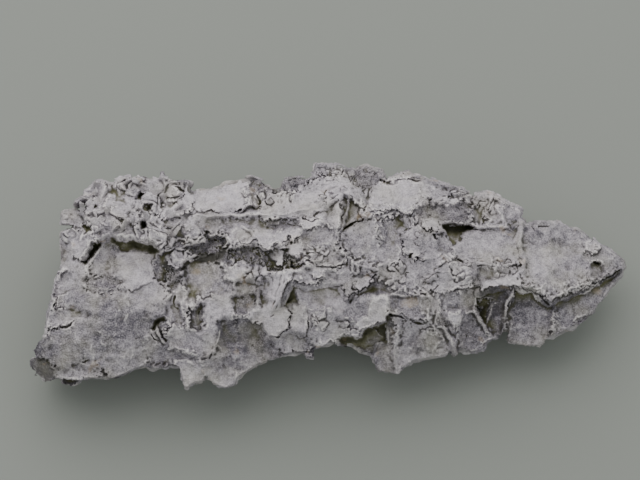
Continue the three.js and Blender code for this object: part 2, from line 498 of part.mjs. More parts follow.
    { free: 180, lift: 2.4, base: 0.8, rag: 0.2 }],
  [[[20.6, -0.4], [22.4, 2], [25.4, 2.6], [28, 2.6], [28.4, 0], [28.2, -3], [30, -4.4], [27, -5], [23.4, -4],
    [21, -3.2]], { free: -120, lift: 4.4, base: 1 }],
  [[[25.4, 4.2], [30.8, 3.8], [31, 1], [27, 2]], { free: -90, lift: 3.4, base: 0.4 }],
  [[[28, 12], [32, 12.4], [33.4, 10.2], [29, 9.8]], { free: 60, lift: 1.6 }],
  [[[30.6, 3.8], [33.4, -0.4], [35, 1.4], [44, 1.6], [49.4, 2.4], [49.8, -5.6], [44, -6.2], [38, -6.2], [34.4, -4.6],
    [31.4, -1]], { free: -80, lift: 2.2, base: -1, rag: 0.2 }],
  [[[31, 4.6], [36, 5], [41, 4.6], [44.6, 4], [44.4, 3], [36, 3.6]], { lift: 3.4, base: 0.6 }],
  [[[42, 8.2], [45, 7.6], [45.8, 3.4], [44.6, 3], [43.4, 6.6]], { free: 0, lift: 3.4, base: 1 }],
  [[[45.4, 9.4], [47.6, 8.4], [49.2, 5.6], [47.8, 4.2], [46, 5.6]], { free: 20, lift: 1.4 }],
  [[[47.2, 2], [49.2, 5.8], [51.6, 5], [50, 2.4], [52.8, 1.6], [50, 0.4]], { free: 90, lift: 2.8 }],
  [[[36.4, -6.4], [41, -6.4], [49.4, -6], [48, -9.4], [40.6, -11.4], [37, -11]], { lift: 1.6, base: -1 }],
  // the right-hand blade, its lip, the fins below it and its tip
  [[[49.8, 3.8], [54, 5], [60, 4.8], [66.4, 1.4], [68.4, -1], [67.6, -5], [66.4, -8.4], [67, -10.6],
    [60.4, -13.6], [57, -15.2], [53.4, -12.2], [49.2, -12], [48, -10], [49.6, -5]],
    { free: -100, lift: 5, base: 0, foot: 0.85, rag: 0.25 }],
  [[[66.6, 0.8], [69.4, -0.8], [72, -2.4], [75.6, -4.4], [75.6, -7], [72, -8.2], [69, -10.2], [66.6, -10.4],
    [66.6, -6.8], [68, -3.6], [67.4, -2]], { lift: 2.6, base: 0.6 }],
  [[[38.8, -12.8], [40.4, -11], [48.2, -9.2], [47.6, -11], [41.4, -12.2]], { lift: 4.4, base: 1 }],
  [[[57, -14.2], [66, -12.2], [73, -8.8], [74.6, -8], [71.4, -14], [69, -17], [68.6, -18.6], [62, -22.2],
    [57.6, -23.2], [57, -20]], { free: 90, lift: 0.6, base: 0, rag: 0.25 }],
  [[[48.2, -13], [56, -15], [57.3, -23.6], [55, -26.6], [50, -26.4], [46.4, -25.4], [47.8, -18]],
    { free: 60, lift: 0.4, base: 0, rag: 0.25 }],
  [[[46.6, -11.6], [47.6, -13], [46.4, -18.4], [45, -23.8], [41.4, -22.8], [43.4, -17.4]],
    { free: 0, lift: 3, base: -1.4, rag: 0.15 }],
  [[[56.6, -14], [57.8, -14], [58, -23], [57, -24]], { free: 0, lift: 1.4, base: 1.4, rag: 0.1 }],
  [[[37.8, -16], [39.2, -16.6], [42.4, -23.6], [41, -25], [39, -20.6]], { free: 0, lift: 3, base: 1, rag: 0.2 }],
  [[[36.8, -26.4], [42.2, -24.8], [40.8, -27.6], [37.4, -28.2]], { lift: 2 }],
];

let lump = makeMass();
for (const pit of HOLLOWS) lump = lump.subtract(hollow(...pit));
for (const [corners, stance] of WALLS) lump = lump.add(wall(corners, stance));

// Small blades crowd the upper left and stand here and there along the ridges.
const THICKETS = [
  // s from, s to, t from, t to, how many, size
  [-62, -33, -1, 14, 9, 2.6],
  [22, 46, 2, 10, 2, 2],
];
for (const [fromS, toS, fromT, toT, count, size] of THICKETS)
  for (let n = 0; n < count; n++) {
    const [s, t] = [between(fromS, toS), between(fromT, toT)];
    const [turn, long, wide] = [between(0, Math.PI), size * between(0.7, 1.2), between(0.5, 0.8)];
    const [cos, sin] = [Math.cos(turn), Math.sin(turn)];
    const corners = [[-long, -wide], [long, -wide * 0.6], [long * 0.8, wide], [-long * 0.7, wide]];
    lump = lump.add(
      wall(
        corners.map(([a, b]) => [s + a * cos - b * sin, t + a * sin + b * cos]),
        { free: between(-180, 180), lift: between(2, 4.2), base: between(0.5, 2), rag: 0 },
      ),
    );
  }

// The back is a jumble of broken plates that overlap.
for (let n = 0; n < SHINGLES; n++) {
  const s = -62 + (122 * (n + between(0.2, 0.8))) / SHINGLES;
  const round = n % 2 ? between(-30, 5) : between(10, 35);
  const size = between(6.5, 10) * (s > 45 ? 0.6 : 1);
  lump = lump.add(shingle(s, round, size, between(0, 1.4), between(5, 20)));
}

// The base: a flat break that the lump lies on.
const below = new THREE.BoxGeometry(400, 400, 60);
below.translate(0, 0, -30);
below.deleteAttribute("normal");
below.deleteAttribute("uv");
const ground = mergeVertices(below, 1e-4);
const groundPoints = [];
const groundAt = ground.getAttribute("position");
for (let i = 0; i < groundAt.count; i++)
  groundPoints.push(new THREE.Vector3().fromBufferAttribute(groundAt, i));
const groundFaces = [];
for (let i = 0; i < ground.index.count; i += 3)
  groundFaces.push([...ground.index.array.slice(i, i + 3)]);
lump = lump.subtract(solidOf(groundPoints, groundFaces));

// The outer shell alone: loose chips are dropped, and bubbles that were closed over are filled.
const outerShell = (solid) => solid.decompose().sort((a, b) => b.volume() - a.volume())[0];
lump = outerShell(outerShell(lump).simplify(CHIP));

const { vertProperties, triVerts } = lump.getMesh();
const shape = new THREE.BufferGeometry();
shape.setAttribute("position", new THREE.BufferAttribute(vertProperties, 3));
shape.setIndex(new THREE.BufferAttribute(triVerts, 1));

// The origin is under the middle of the lump, on the ground.
shape.computeBoundingBox();
const { min, max } = shape.boundingBox;
shape.translate(-(min.x + max.x) / 2, -(min.y + max.y) / 2, -min.z);
shape.computeVertexNormals();

const quartz = new THREE.MeshStandardMaterial({ color: 0xb4aeb1, roughness: 0.85, metalness: 0 });
const pseudomorph = new THREE.Mesh(shape, quartz);
pseudomorph.name = "quartz_pseudomorph";

const specimen = new THREE.Group();
specimen.add(pseudomorph);
export default specimen;
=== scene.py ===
import itertools
import math

import bpy
import numpy as np
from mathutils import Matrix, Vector
from mathutils.bvhtree import BVHTree


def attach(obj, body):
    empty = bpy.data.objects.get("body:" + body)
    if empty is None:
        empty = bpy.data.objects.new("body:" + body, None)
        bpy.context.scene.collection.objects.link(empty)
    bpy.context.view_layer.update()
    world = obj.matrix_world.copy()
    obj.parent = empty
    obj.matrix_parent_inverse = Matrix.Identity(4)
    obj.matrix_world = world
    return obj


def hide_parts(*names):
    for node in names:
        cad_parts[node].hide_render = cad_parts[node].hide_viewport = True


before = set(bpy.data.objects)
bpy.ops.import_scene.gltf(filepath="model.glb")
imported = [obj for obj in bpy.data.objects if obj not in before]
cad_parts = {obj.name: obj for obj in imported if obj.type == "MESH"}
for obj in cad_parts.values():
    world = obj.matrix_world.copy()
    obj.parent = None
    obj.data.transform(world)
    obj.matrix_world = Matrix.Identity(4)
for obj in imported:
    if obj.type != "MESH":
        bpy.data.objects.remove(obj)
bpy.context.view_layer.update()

# The walls. Thin sheets of quartz that water laid down, grain by grain, over the crystals of
# another mineral. That mineral dissolved later, so the sheets overlap over open hollows, meet
# along sharp crests and end in frilled, broken edges. They are one growth with the lump.
MM = 0.001

# The show face leans back from -Y. Places on it are in millimetres: s along the lump, t up the
# face and h out of it.
SHOW_ELEVATION = math.radians(62)
FACE_ORIGIN = np.array([-2.5, 9.29, 19.0])
ALONG = np.array([1.0, 0.0, 0.0])
UP_FACE = np.array([0.0, math.sin(SHOW_ELEVATION), math.cos(SHOW_ELEVATION)])
OUT = np.array([0.0, -math.cos(SHOW_ELEVATION), math.sin(SHOW_ELEVATION)])
DOWN = Vector(-OUT)


def to_face(points):
    """Points in metres as s, t and h."""
    return (points / MM - FACE_ORIGIN) @ np.array([ALONG, UP_FACE, OUT]).T


def from_face(stations):
    """The reverse of to_face."""
    return (FACE_ORIGIN + stations @ np.array([ALONG, UP_FACE, OUT])) * MM


def scatter(cells, seed):
    """A repeatable random number from 0 to 1 for each whole-numbered cell."""
    key = cells[:, 0] * 73856093 ^ cells[:, 1] * 19349663 ^ cells[:, 2] * 83492791
    key = key ^ seed * 2654435761
    key = (key ^ (key >> 13)) * 1274126177 & 0xFFFFFFFF
    key = (key ^ (key >> 16)) * 2246822519 & 0xFFFFFFFF
    return ((key ^ (key >> 15)) & 0xFFFFFF) / 0xFFFFFF


def bumps(points, size, seed):
    """Smooth noise from -1 to 1, with bumps of that size."""
    points = points / size
    cells = np.floor(points).astype(np.int64)
    share = points - cells
    share = share * share * (3 - 2 * share)
    total = np.zeros(len(points))
    for corner in itertools.product((0, 1), repeat=3):
        weight = np.prod(np.where(corner, share, 1 - share), axis=1)
        total += weight * scatter(cells + corner, seed)
    return 2 * total - 1


def near_seeds(points, size, seed):
    """The distance to the nearest of scattered seeds, in seed spacings."""
    points = points / size
    cells = np.floor(points).astype(np.int64)
    nearest = np.full(len(points), 9.0)
    for step in itertools.product((-1, 0, 1), repeat=3):
        near = cells + step
        seeds = near + np.stack([scatter(near, seed + axis) for axis in range(3)], axis=1)
        nearest = np.minimum(nearest, np.linalg.norm(points - seeds, axis=1))
    return nearest


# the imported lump, which the walls stand on; its object becomes the crust further down
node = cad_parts["quartz_pseudomorph"]
bpy.ops.object.select_all(action="DESELECT")
crust = bpy.data.objects.new("quartz_crust", node.data.copy())
bpy.context.scene.collection.objects.link(crust)
crust.data.materials.clear()
crust.select_set(True)
bpy.context.view_layer.objects.active = crust
bpy.ops.object.mode_set(mode="EDIT")
bpy.ops.mesh.select_all(action="SELECT")
bpy.ops.mesh.remove_doubles(threshold=0.01 * MM)
bpy.ops.object.mode_set(mode="OBJECT")
lump_tree = BVHTree.FromPolygons(
    [v.co for v in crust.data.vertices], [tuple(p.vertices) for p in crust.data.polygons]
)

# the least and most s, t and h of a block of cells round the lump
LOW = np.array([-77.0, -41.0, -29.0])
HIGH = np.array([79.0, 23.0, 24.0])


def grid_of(step):
    """The s and t of cells of that size, all over the block."""
    sides = (np.arange(LOW[axis], HIGH[axis], step) for axis in (0, 1))
    return np.meshgrid(*sides, indexing="ij")


def starts_over(s, t):
    """Places over the lump, in metres, from which to look straight down at the show face."""
    return from_face(np.stack([s.ravel(), t.ravel(), np.full(s.size, HIGH[2])], axis=1)).tolist()


def softened(field, spread, step):
    """The field blurred over that many millimetres."""
    reach = int(2.6 * spread / step) + 1
    offsets = np.arange(-reach, reach + 1) * step / spread
    weights = np.exp(-0.5 * offsets**2).astype(np.float32)
    weights /= weights.sum()
    for axis in range(field.ndim):
        edges = [(reach, reach) if i == axis else (0, 0) for i in range(field.ndim)]
        padded = np.pad(field, edges)
        total = np.zeros_like(field)
        for i, weight in enumerate(weights):
            part = [slice(None)] * field.ndim
            part[axis] = slice(i, i + field.shape[axis])
            total += weight * padded[tuple(part)]
        field = total
    return field


def sampled(field, places, step):
    """The field at any places in the block, by straight lines between its cells."""
    spots = np.clip((places - LOW[: field.ndim]) / step, 0, np.array(field.shape) - 1.001)
    cells = spots.astype(int)
    share = spots - cells
    total = np.zeros(len(places))
    for corner in itertools.product((0, 1), repeat=field.ndim):
        weight = np.prod(np.where(corner, share, 1 - share), axis=1)
        total += weight * field[tuple((cells + corner).T)]
    return total


# The ground is the lump under the show face, on a grid of fine cells. The dome is its broad
# shape without any relief.
FINE = 0.16
DOME_SPREAD = 4.0
OUTWARD_STEPS = 8
grid_s, grid_t = grid_of(FINE)
falls = [lump_tree.ray_cast(start, DOWN)[3] for start in starts_over(grid_s, grid_t)]
ground = np.array([np.nan if fall is None else HIGH[2] - fall / MM for fall in falls])
ground = ground.reshape(grid_s.shape)
known = ~np.isnan(ground)
inside = known.astype(float)
dome = softened(np.where(known, ground, 0), DOME_SPREAD, FINE)
dome /= np.maximum(softened(inside, DOME_SPREAD, FINE), 1e-9)
for _ in range(OUTWARD_STEPS):
    # the ground is carried a little way out past the contour
    beside = np.fmin.reduce([np.roll(ground, way, axis) for axis in (0, 1) for way in (-1, 1)])
    ground = np.where(np.isnan(ground), beside, ground)
ground = np.where(np.isnan(ground), dome, ground)
sites = np.stack([grid_s, grid_t, np.zeros_like(grid_s)], axis=-1).reshape(-1, 3)


def wander(size, seed):
    """Smooth noise from -1 to 1 all over the show face."""
    return bumps(sites, size, seed).reshape(grid_s.shape)


# The relief is the height of the quartz over each place. It starts as the dome with half of the
# ground's own shape. Each feature below works it further, and with it how sugary the quartz is,
# how calm its surface, and how pale.
base = np.maximum(ground, dome - 1.2 - 2.0 * np.clip(wander(7.0, 59) + 0.3, 0, 1))
relief = dome + 0.5 * np.clip(softened(base, 0.6, FINE) - dome, -2.5, 2.0)
drusy, calm, shade = (np.zeros_like(relief) for _ in range(3))
# large, middling and small waves bend the grid, so that no outline runs straight
bent_s, bent_t = grid_s.copy(), grid_t.copy()
for height, size, seed in ((0.6, 6.0, 50), (0.35, 2.2, 51), (0.15, 1.0, 52)):
    bent_s += height * wander(size, seed)
    bent_t += height * wander(size, seed + 3)
broken = np.clip(0.4 + 1.3 * wander(2.4, 57), 0, 1)
# lobes frill the free edges, in three sizes
lobes = np.zeros_like(relief)
for height, size, seed in ((1.0, 1.3, 60), (0.8, 0.8, 64), (0.4, 0.5, 67)):
    lobes += height * (0.55 - near_seeds(sites, size, seed).reshape(grid_s.shape))


def dished(size, depth, seed):
    """Shallow dishes of that size that meet along sharp crests, some deeper than others."""
    bent = np.stack([bent_s.ravel(), bent_t.ravel()], axis=1) / size
    cells = np.floor(bent).astype(np.int64)
    nearest = np.full(len(bent), 9.0)
    for step in itertools.product((-1, 0, 1), repeat=2):
        near = np.column_stack([cells + step, np.zeros(len(bent), dtype=np.int64)])
        chance = [scatter(near, seed + number) for number in range(5)]
        offset = bent - near[:, :2] - np.stack(chance[:2], axis=1)
        stretch = 0.6 + 0.9 * chance[3]
        turn = math.pi * chance[4]
        across = offset[:, 0] * np.cos(turn) + offset[:, 1] * np.sin(turn)
        beside = offset[:, 1] * np.cos(turn) - offset[:, 0] * np.sin(turn)
        gap = across**2 * stretch + beside**2 / stretch + 0.5 * chance[2]
        nearest = np.minimum(nearest, gap)
    return ((nearest - 0.35) * size * depth).reshape(grid_s.shape)


def part_round(line, margin):
    """The part of the grid round a line of (s, t) points."""
    s, t = np.array(line, dtype=float).T
    spans = ((grid_s[:, 0], s), (grid_t[0], t))
    return tuple(
        slice(*np.searchsorted(cells, (spots.min() - margin, spots.max() + margin)))
        for cells, spots in spans
    )


def gap_to(line, s, t, closed=False):
    """The distance from each grid point to the nearest point of the line."""
    ends = line[1:] + line[:1] if closed else line[1:]
    gap = np.full(s.shape, 99.0)
    for (a, b), (c, d) in zip(line, ends):
        share = ((s - a) * (c - a) + (t - b) * (d - b)) / ((c - a) ** 2 + (d - b) ** 2)
        share = np.clip(share, 0, 1)
        gap = np.minimum(gap, np.hypot(s - a - share * (c - a), t - b - share * (d - b)))
    return gap


def depth_in(outline, s, t):
    """How far each grid point lies inside the outline, below zero outside it."""
    within = np.zeros(s.shape, dtype=bool)
    for (a, b), (c, d) in zip(outline, outline[1:] + outline[:1]):
        if b != d:
            crosses = (b > t) != (d > t)
            within ^= crosses & (s < (c - a) * (t - b) / (d - b) + a)
    gap = gap_to(outline, s, t, closed=True)
    return np.where(within, gap, -gap)


RIM_WIDTH = 0.28
SAG_WIDTH = 3.0
GROOVE_WIDTH = 0.25
BROKEN_FACE = 0.35


def sheet(outline, free, low, high, dish, tone=0.0, under=0.4, curl=0.16, soft=2.2, edge=0.2,
          frill=1.5, sugar=0.0, over=False):
    """A smooth sheet. It grows out of the lump on one side and rises from low to high towards
    the side that is free, which is given in degrees. It sags between its rims by dish, turns up
    at its free edge by curl, and overhangs a groove there that is under deep. Tone is how pale
    it is, from -1 to 1: its own tone, raised as painted light on sheets that face the lamp and
    lowered as painted shade on sheets that face away from it or lie under an overhang. Sugar is
    how crusted with crystals it is. Soft and edge are how widely it blends into its neighbours
    on its fast and on its free side, and frill how ragged it is. A sheet that is laid over its
    neighbours hides nothing that stands higher."""
    part = part_round(outline, 4)
    s, t = bent_s[part], bent_t[part]
    way = np.array([math.cos(math.radians(free)), math.sin(math.radians(free))])
    along = np.array(outline) @ way
    share = np.clip((s * way[0] + t * way[1] - along.min()) / (along.max() - along.min()), 0, 1)
    loose = np.clip(2.4 * share - 0.7, 0, 1)
    plain = depth_in(outline, s, t)
    gap = plain + frill * lobes[part] * (0.2 + 0.8 * loose)
    inner = np.maximum(gap, 0)
    level = dome[part] + low + (high - low) * share
    height = level + curl * loose * np.exp(-inner / RIM_WIDTH)
    height = height - 1.4 * dish * (1 - np.exp(-inner / SAG_WIDTH))
    if edge < 1:
        # outside a sharp edge the broken face drops steeply at first, then slopes away
        fall = np.clip(-gap, 0, BROKEN_FACE) * (0.9 + 3.0 * loose)
        fall += 1.3 * np.maximum(-plain - 0.5, 0)
        skirt = np.maximum(relief[part], level - fall)
        relief[part] = np.where((gap < 0) & (fall < 3), skirt, relief[part])
    groove = np.exp(-(((gap + GROOVE_WIDTH) / GROOVE_WIDTH) ** 2))
    relief[part] -= under * loose * groove * (gap < 0)
    wide = soft + (edge - soft) * loose
    cover = np.clip((gap + 0.4 * (wide - 0.2)) / wide + 0.5, 0, 1)
    cover = cover * cover * (3 - 2 * cover)
    if over:
        cover *= np.clip((height - relief[part]) / 0.2 + 0.5, 0, 1)
    relief[part] += (height - relief[part]) * cover
    # the tone is laid into the shade value, with painted light and painted shade in places
    shade[part] += (1.3 * tone - shade[part]) * cover
    drusy[part] *= 1 - cover
    calm[part] = np.maximum(calm[part] * (1 - cover), cover * (1 - 0.8 * np.exp(-inner / 0.8)))
    if sugar:
        druse(outline, sugar)


def panel(*places, **settings):
    """A sheet with no groove under its free side."""
    sheet(*places, under=0, **settings)


def flakes(count, corner, far, sizes, lifts, slope, seed, tones, under=0.12, ragged=0.6):
    """A crowd of small sheets inside a box from corner to far, each tilted its own way."""
    random = np.random.default_rng(seed)
    for _ in range(count):
        s, t = random.uniform(corner, far)
        size = random.uniform(*sizes)
        turns = (np.arange(5) + random.uniform(-0.3, 0.3, 5)) * math.tau / 5
        turns = turns + random.uniform(0, 6)
        reach = size / 2 * random.uniform(0.6, 1.3, 5)
        stretch = random.uniform(0.55, 1.0)
        turn = random.uniform(0, math.pi)
        x, y = reach * np.cos(turns), reach * np.sin(turns) * stretch
        across = s + x * math.cos(turn) - y * math.sin(turn)
        upward = t + x * math.sin(turn) + y * math.cos(turn)
        lift = random.uniform(*lifts)
        rise = size * slope * random.uniform(0.3, 1)
        sheet(
            list(zip(across, upward)), random.uniform(-180, 180), lift - rise / 2, lift + rise / 2,
            0.08 * size, random.uniform(*tones), under=under, curl=0.06, soft=0.3 * size,
            frill=ragged * (0.15 + 0.07 * size), over=True,
        )


def pit(outline, depth, soft=0.7, sugar=0.0, ramp=0.5):
    """An open hollow with steep walls. Its floor comes up by ramp of its depth at the low side."""
    part = part_round(outline, 3)
    s, t = bent_s[part], bent_t[part]
    gap = depth_in(outline, s, t)
    low, high = min(b for _, b in outline), max(b for _, b in outline)
    floor = depth * (1 - ramp * np.clip((high - t) / (high - low), 0, 1))
    ragged = np.clip((gap + 0.6 * lobes[part]) / soft + 0.3, 0, 1)
    cover = 0.4 * ragged + 0.6 * np.clip(gap / (soft + 0.4) + 0.2, 0, 1)
    relief[part] += np.minimum(dome[part] - floor - relief[part], 0) * cover
    drusy[part] = np.maximum(drusy[part], cover * sugar)
    # painted shade darkens the pit
    shade[part] -= (shade[part] + 0.7) * cover
    calm[part] *= 1 - cover


def slit(line, width, depth):
    """A narrow ragged crack along a line, closed here and there."""
    part = part_round(line, 3)
    gap = gap_to(line, bent_s[part], bent_t[part]) + 0.2 * lobes[part]
    half = 0.3 * width * (0.25 + 0.8 * broken[part])
    opening = np.clip(1.3 * (1 - (gap / half) ** 2), 0, 1)
    relief[part] -= 0.7 * depth * (0.1 + 0.8 * broken[part]) * opening


def crest(line, height, width):
    """A sharp crest along a line, with hollow flanks."""
    part = part_round(line, width + 2)
    gap = gap_to(line, bent_s[part], bent_t[part])
    rise = height * (0.5 + 0.6 * broken[part])
    relief[part] += rise * np.clip(1 - gap / width, 0, 1) ** 2


def paint_shade_on_low_ground(outline, amount):
    """Painted shade on the low ground inside the outline. What stands higher is left as it is."""
    part = part_round(outline, 3)
    gap = depth_in(outline, bent_s[part], bent_t[part]) + 0.8 * lobes[part]
    lying = np.clip(gap / 0.8 + 0.3, 0, 1) * np.clip((dome[part] + 0.4 - relief[part]) / 1.5, 0, 1)
    shade[part] -= (shade[part] + amount) * lying


def druse(outline, amount=1.0):
    """A patch crusted with sugary crystals."""
    part = part_round(outline, 3)
    gap = depth_in(outline, bent_s[part], bent_t[part])
    drusy[part] = np.maximum(drusy[part], amount * np.clip(gap / 1.2 + 0.5, 0, 1))


# broad dishes and a loose cover of flakes all over, which the larger features then hide
relief += dished(6.0, 0.5, 80)
flakes(750, (-72, -37), (76, 19), (3.0, 8.0), (-1.2, 0.8), 0.5, 20, (-0.6, 0.5))

# upper left: a heap of small blades with olive hollows between them, over a scalloped overhang
flakes(60, (-64, 0), (-34, 16), (3, 6.5), (-0.6, 2), 0.8, 31, (-0.4, 0.6), ragged=0.4)
sheet([(-65, 7.6), (-62, 7.8), (-59.6, 6), (-60.2, 3.6), (-63.6, 3.2)], 180, 0.6, -0.8, 0.3, -0.2)
sheet([(-63.6, 3), (-60.4, 2.8), (-60.2, -2), (-61.6, -5), (-64.4, -6)], 0, -1.6, 1.6, 0.6)
sheet([(-61.5, 12), (-57, 15), (-53, 15.6), (-51.6, 13.6), (-55, 12), (-60, 11)], -90, -0.6, 1.2,
    0.4, 0.2)
sheet([(-60.6, 11.2), (-57, 12), (-55.2, 10.4), (-54, 8.4), (-57, 7.2), (-61, 8)], -80, 0, 1.6,
    0.3)
sheet([(-55.4, 11.6), (-51, 12.6), (-47.4, 12.2), (-46, 10.4), (-50, 9.6), (-54, 9.2)], -90, -0.4,
    2.2, 0.6, -0.1)
sheet([(-53.6, 9), (-49.4, 10), (-45.8, 9.6), (-45.4, 7.4), (-49, 6.6), (-53, 5.8)], -80, 0.4,
    2.8, 0.7, 0.5)
sheet([(-50, 7.2), (-47.4, 8.2), (-45, 7), (-44.6, 2), (-45.2, -0.4), (-47, 3), (-49, 5.2)], 0,
    0.8, 3.4, 0.6, 0.3)
sheet([(-57, 4.8), (-53.4, 5), (-50, 4.8), (-50.6, 1.4), (-53.6, 0), (-57, 0.8)], -100, 0, 2.6,
    0.8)
sheet([(-51, 2.6), (-47, 3), (-45.2, 2), (-45.6, -0.4), (-47.6, 0.3), (-48.4, -0.5),
    (-50.4, -0.4), (-51.2, 0.8)], -90, 0.6, 3.4, 0.6, under=0.8)
sheet([(-60.6, 2), (-57.6, 1.8), (-55.4, -0.4), (-56.6, -2), (-59, -5), (-60.8, -3)], -30, -0.5,
    2.6, 0.5, 0.1)
sheet([(-44.4, 2), (-42.4, 3), (-41.4, 0), (-42, -1.4), (-44.6, -0.4)], -90, 0.4, 2.6, 0.3, 0.4)
sheet([(-43.6, 5.4), (-40.8, 5), (-38.6, 2.8), (-37.8, -2.4), (-40, -2.4), (-42.2, -0.6)], -50,
    0.6, 3.8, 0.9, 0.5)
sheet([(-38.4, 3.4), (-33.4, 4.8), (-30, 3.8), (-29.4, 1), (-31.6, -0.8), (-35.6, -0.4),
    (-37.6, -1.6)], -70, 0.8, 3, 1)
sheet([(-37.8, 2), (-34.4, 2.4), (-34, 0.4), (-36.6, -0.2)], -90, -0.6, 0.8, 0.4, -0.5)
sheet([(-40, 7), (-37, 8.2), (-34.8, 9.8), (-33, 11.6), (-31.8, 9), (-31.8, 7.4), (-34.8, 6.6),
    (-39, 5.6)], -60, 1.2, 3.2, 0.5, 0.7)
sheet([(-38.8, 13.4), (-36.4, 13.2), (-34.8, 11.4), (-36.6, 9.8), (-39, 11)], -60, 0.4, 2.2, 0.5,
    0.4)
sheet([(-42.4, 10.4), (-40.4, 11), (-39.4, 9), (-40.6, 6), (-42, 6.6)], 0, 0.4, 2.6, 0.4, 0.1)
crest([(-42.8, 5.4), (-40.2, 1.6), (-38, -2.4)], 1.4, 1.1)
crest([(-41.4, 5), (-38.6, 1.4)], 0.9, 0.8)
crest([(-49.6, 6.4), (-47.4, 7.8), (-45.6, 8)], 1.2, 1.2)
crest([(-54.4, 4.6), (-51.6, 3), (-51.4, 1)], 0.9, 1.8)
crest([(-60, 10.4), (-58, 11.2), (-55.6, 10.8), (-54.6, 8.6)], 1.3, 1.2)
crest([(-49, 15.4), (-47.6, 12.4), (-46, 10)], 1.4, 1.4)
crest([(-43, 14.6), (-42.4, 9)], 1.4, 1.2)
crest([(-39.6, 17.4), (-39.2, 13.6), (-40.4, 10)], 1.6, 1.2)
flakes(46, (-64, -1), (-36, 15), (2.8, 6), (0.2, 2.8), 0.95, 54, (-0.2, 1), 0.3, ragged=0.3)
pit([(-58.6, 10.2), (-56.4, 10.2), (-55.2, 8.6), (-56.6, 7.8), (-58, 9.2)], 1.8)
pit([(-59.4, 4.2), (-56.8, 3.8), (-56.6, 2.4), (-58.4, 1.8)], 2.4)
pit([(-57.6, 6.2), (-53.4, 5.8), (-53, 5), (-56.6, 4.8)], 0.4, 1.6)
pit([(-49.8, 5), (-47, 5), (-46.4, 3.8), (-48.8, 3.6)], 1, 1.4)
pit([(-46, 10), (-44.6, 11.4), (-43.8, 11), (-44.6, 9.8)], 2.4)
pit([(-42.4, 12.6), (-41, 13.2), (-39.8, 12.2), (-40.4, 10.8), (-42, 11)], 1.8, sugar=0.2)
pit([(-44.2, 8.8), (-42.2, 8.8), (-42.2, 6), (-43.6, 6.4)], 1.8)
pit([(-44.8, 5.4), (-43.2, 5), (-42.4, 3.2), (-44.4, 2.8)], 3.2, 0.5)
pit([(-36.8, 13.2), (-35, 12.8), (-34.2, 12), (-35.6, 12.2)], 2.4, 0.5)
slit([(-34.6, 12), (-34.4, 10.8), (-36.2, 9.6)], 0.8, 1.4)
slit([(-39.6, 5.4), (-37.6, 5.6), (-35.2, 5.2)], 0.8, 1.6)
slit([(-38.2, 3), (-37.2, 2.6)], 1, 2)

# lower left: the broad slab, soft and nearly smooth, with a hollow ridge and a dark corner
panel([(-64.8, -7.6), (-59, -8), (-57.4, -12.6), (-58.6, -17), (-64.4, -17), (-65, -13)], 180,
    0.8, -1.4, 0.5)
panel([(-58.6, -13.6), (-52, -14.4), (-47, -12.8), (-43.4, -11.2), (-39.4, -11), (-38, -14),
    (-39.4, -20), (-41, -27), (-47, -30), (-57, -29), (-66, -31), (-70, -28), (-68.4, -23.4),
    (-60, -18.2)], -90, -0.4, 0.6, 0, -0.45, curl=0, soft=4, edge=4)
panel([(-47, -13), (-43.6, -11.2), (-39.2, -10.8), (-37.4, -13.6), (-40, -17.6), (-44, -17.4)],
    -70, -0.8, 0.8, 0.7, 0.1, curl=0, edge=2.5)
panel([(-64, -13.4), (-60.2, -14), (-61, -16.2), (-64.2, -16.6)], 180, 0.6, -0.4, 0.5, -0.3)
sheet([(-67.4, -18.6), (-64, -18.4), (-60.4, -17.4), (-57, -18.8), (-59.6, -19.8), (-63, -20.6),
    (-67, -22)], -100, -1.4, 1.4, 0.8)
panel([(-66, -24.4), (-61, -22.6), (-55.4, -23), (-54, -26), (-57.6, -28.4), (-62.6, -30.4),
    (-67, -29.6)], -50, -0.5, 0.6, 0.3, -0.35, curl=0, soft=3, edge=3)
panel([(-50, -17), (-46, -18.8), (-43, -22), (-42.6, -26), (-47, -28), (-50.4, -24)], -60, -0.8,
    0.6, 0.3, -0.45, curl=0, soft=3, edge=2.5)
sheet([(-62.8, -32.4), (-57.4, -30), (-54.6, -30), (-53.2, -33), (-57.6, -34), (-61.6, -36.2),
    (-63.8, -35.6)], -60, -0.6, 1.2, 0.6, 0.2, under=0.2, curl=0.1)
panel([(-60.6, -31.4), (-57.4, -30.2), (-55, -30.8), (-55.4, -31.8), (-60, -32.2)], 90, -0.8,
    -0.2, 0, -0.5, curl=0, edge=1.5)
panel([(-53, -28.6), (-46, -28), (-40, -25.8), (-36, -27.4), (-38, -31.4), (-41, -32),
    (-45, -31.6), (-51, -34)], -80, -0.2, 1.2, 0.5, curl=0, soft=3.5, edge=0.6)
panel([(-40, -26.6), (-34.4, -27), (-31, -29), (-34, -30), (-37.4, -30.4), (-42, -30.6)], -90, 0,
    -1, 0.3, -0.2, curl=0, edge=1.5)
panel([(-71, -29.4), (-67.4, -30), (-65.6, -32), (-66, -34), (-69.4, -34.6), (-71.4, -33)], 30,
    -1.6, -1, 0.4, -0.9, curl=0, edge=1)
crest([(-71.6, -29), (-70.2, -32), (-69, -34.6)], 0.9, 1.2)
slit([(-66.8, -22.3), (-65, -21.4), (-62, -21.2), (-59.8, -19.9)], 1.7, 2)
slit([(-60.6, -17.8), (-58.6, -18), (-57, -18.9)], 1, 1)
slit([(-69, -35.4), (-66, -34.6), (-63.6, -33.8)], 0.9, 1.2)
slit([(-58.6, -29.9), (-57, -29.2)], 0.8, 1)
slit([(-54, -26), (-53.2, -27.2)], 0.8, 0.8)

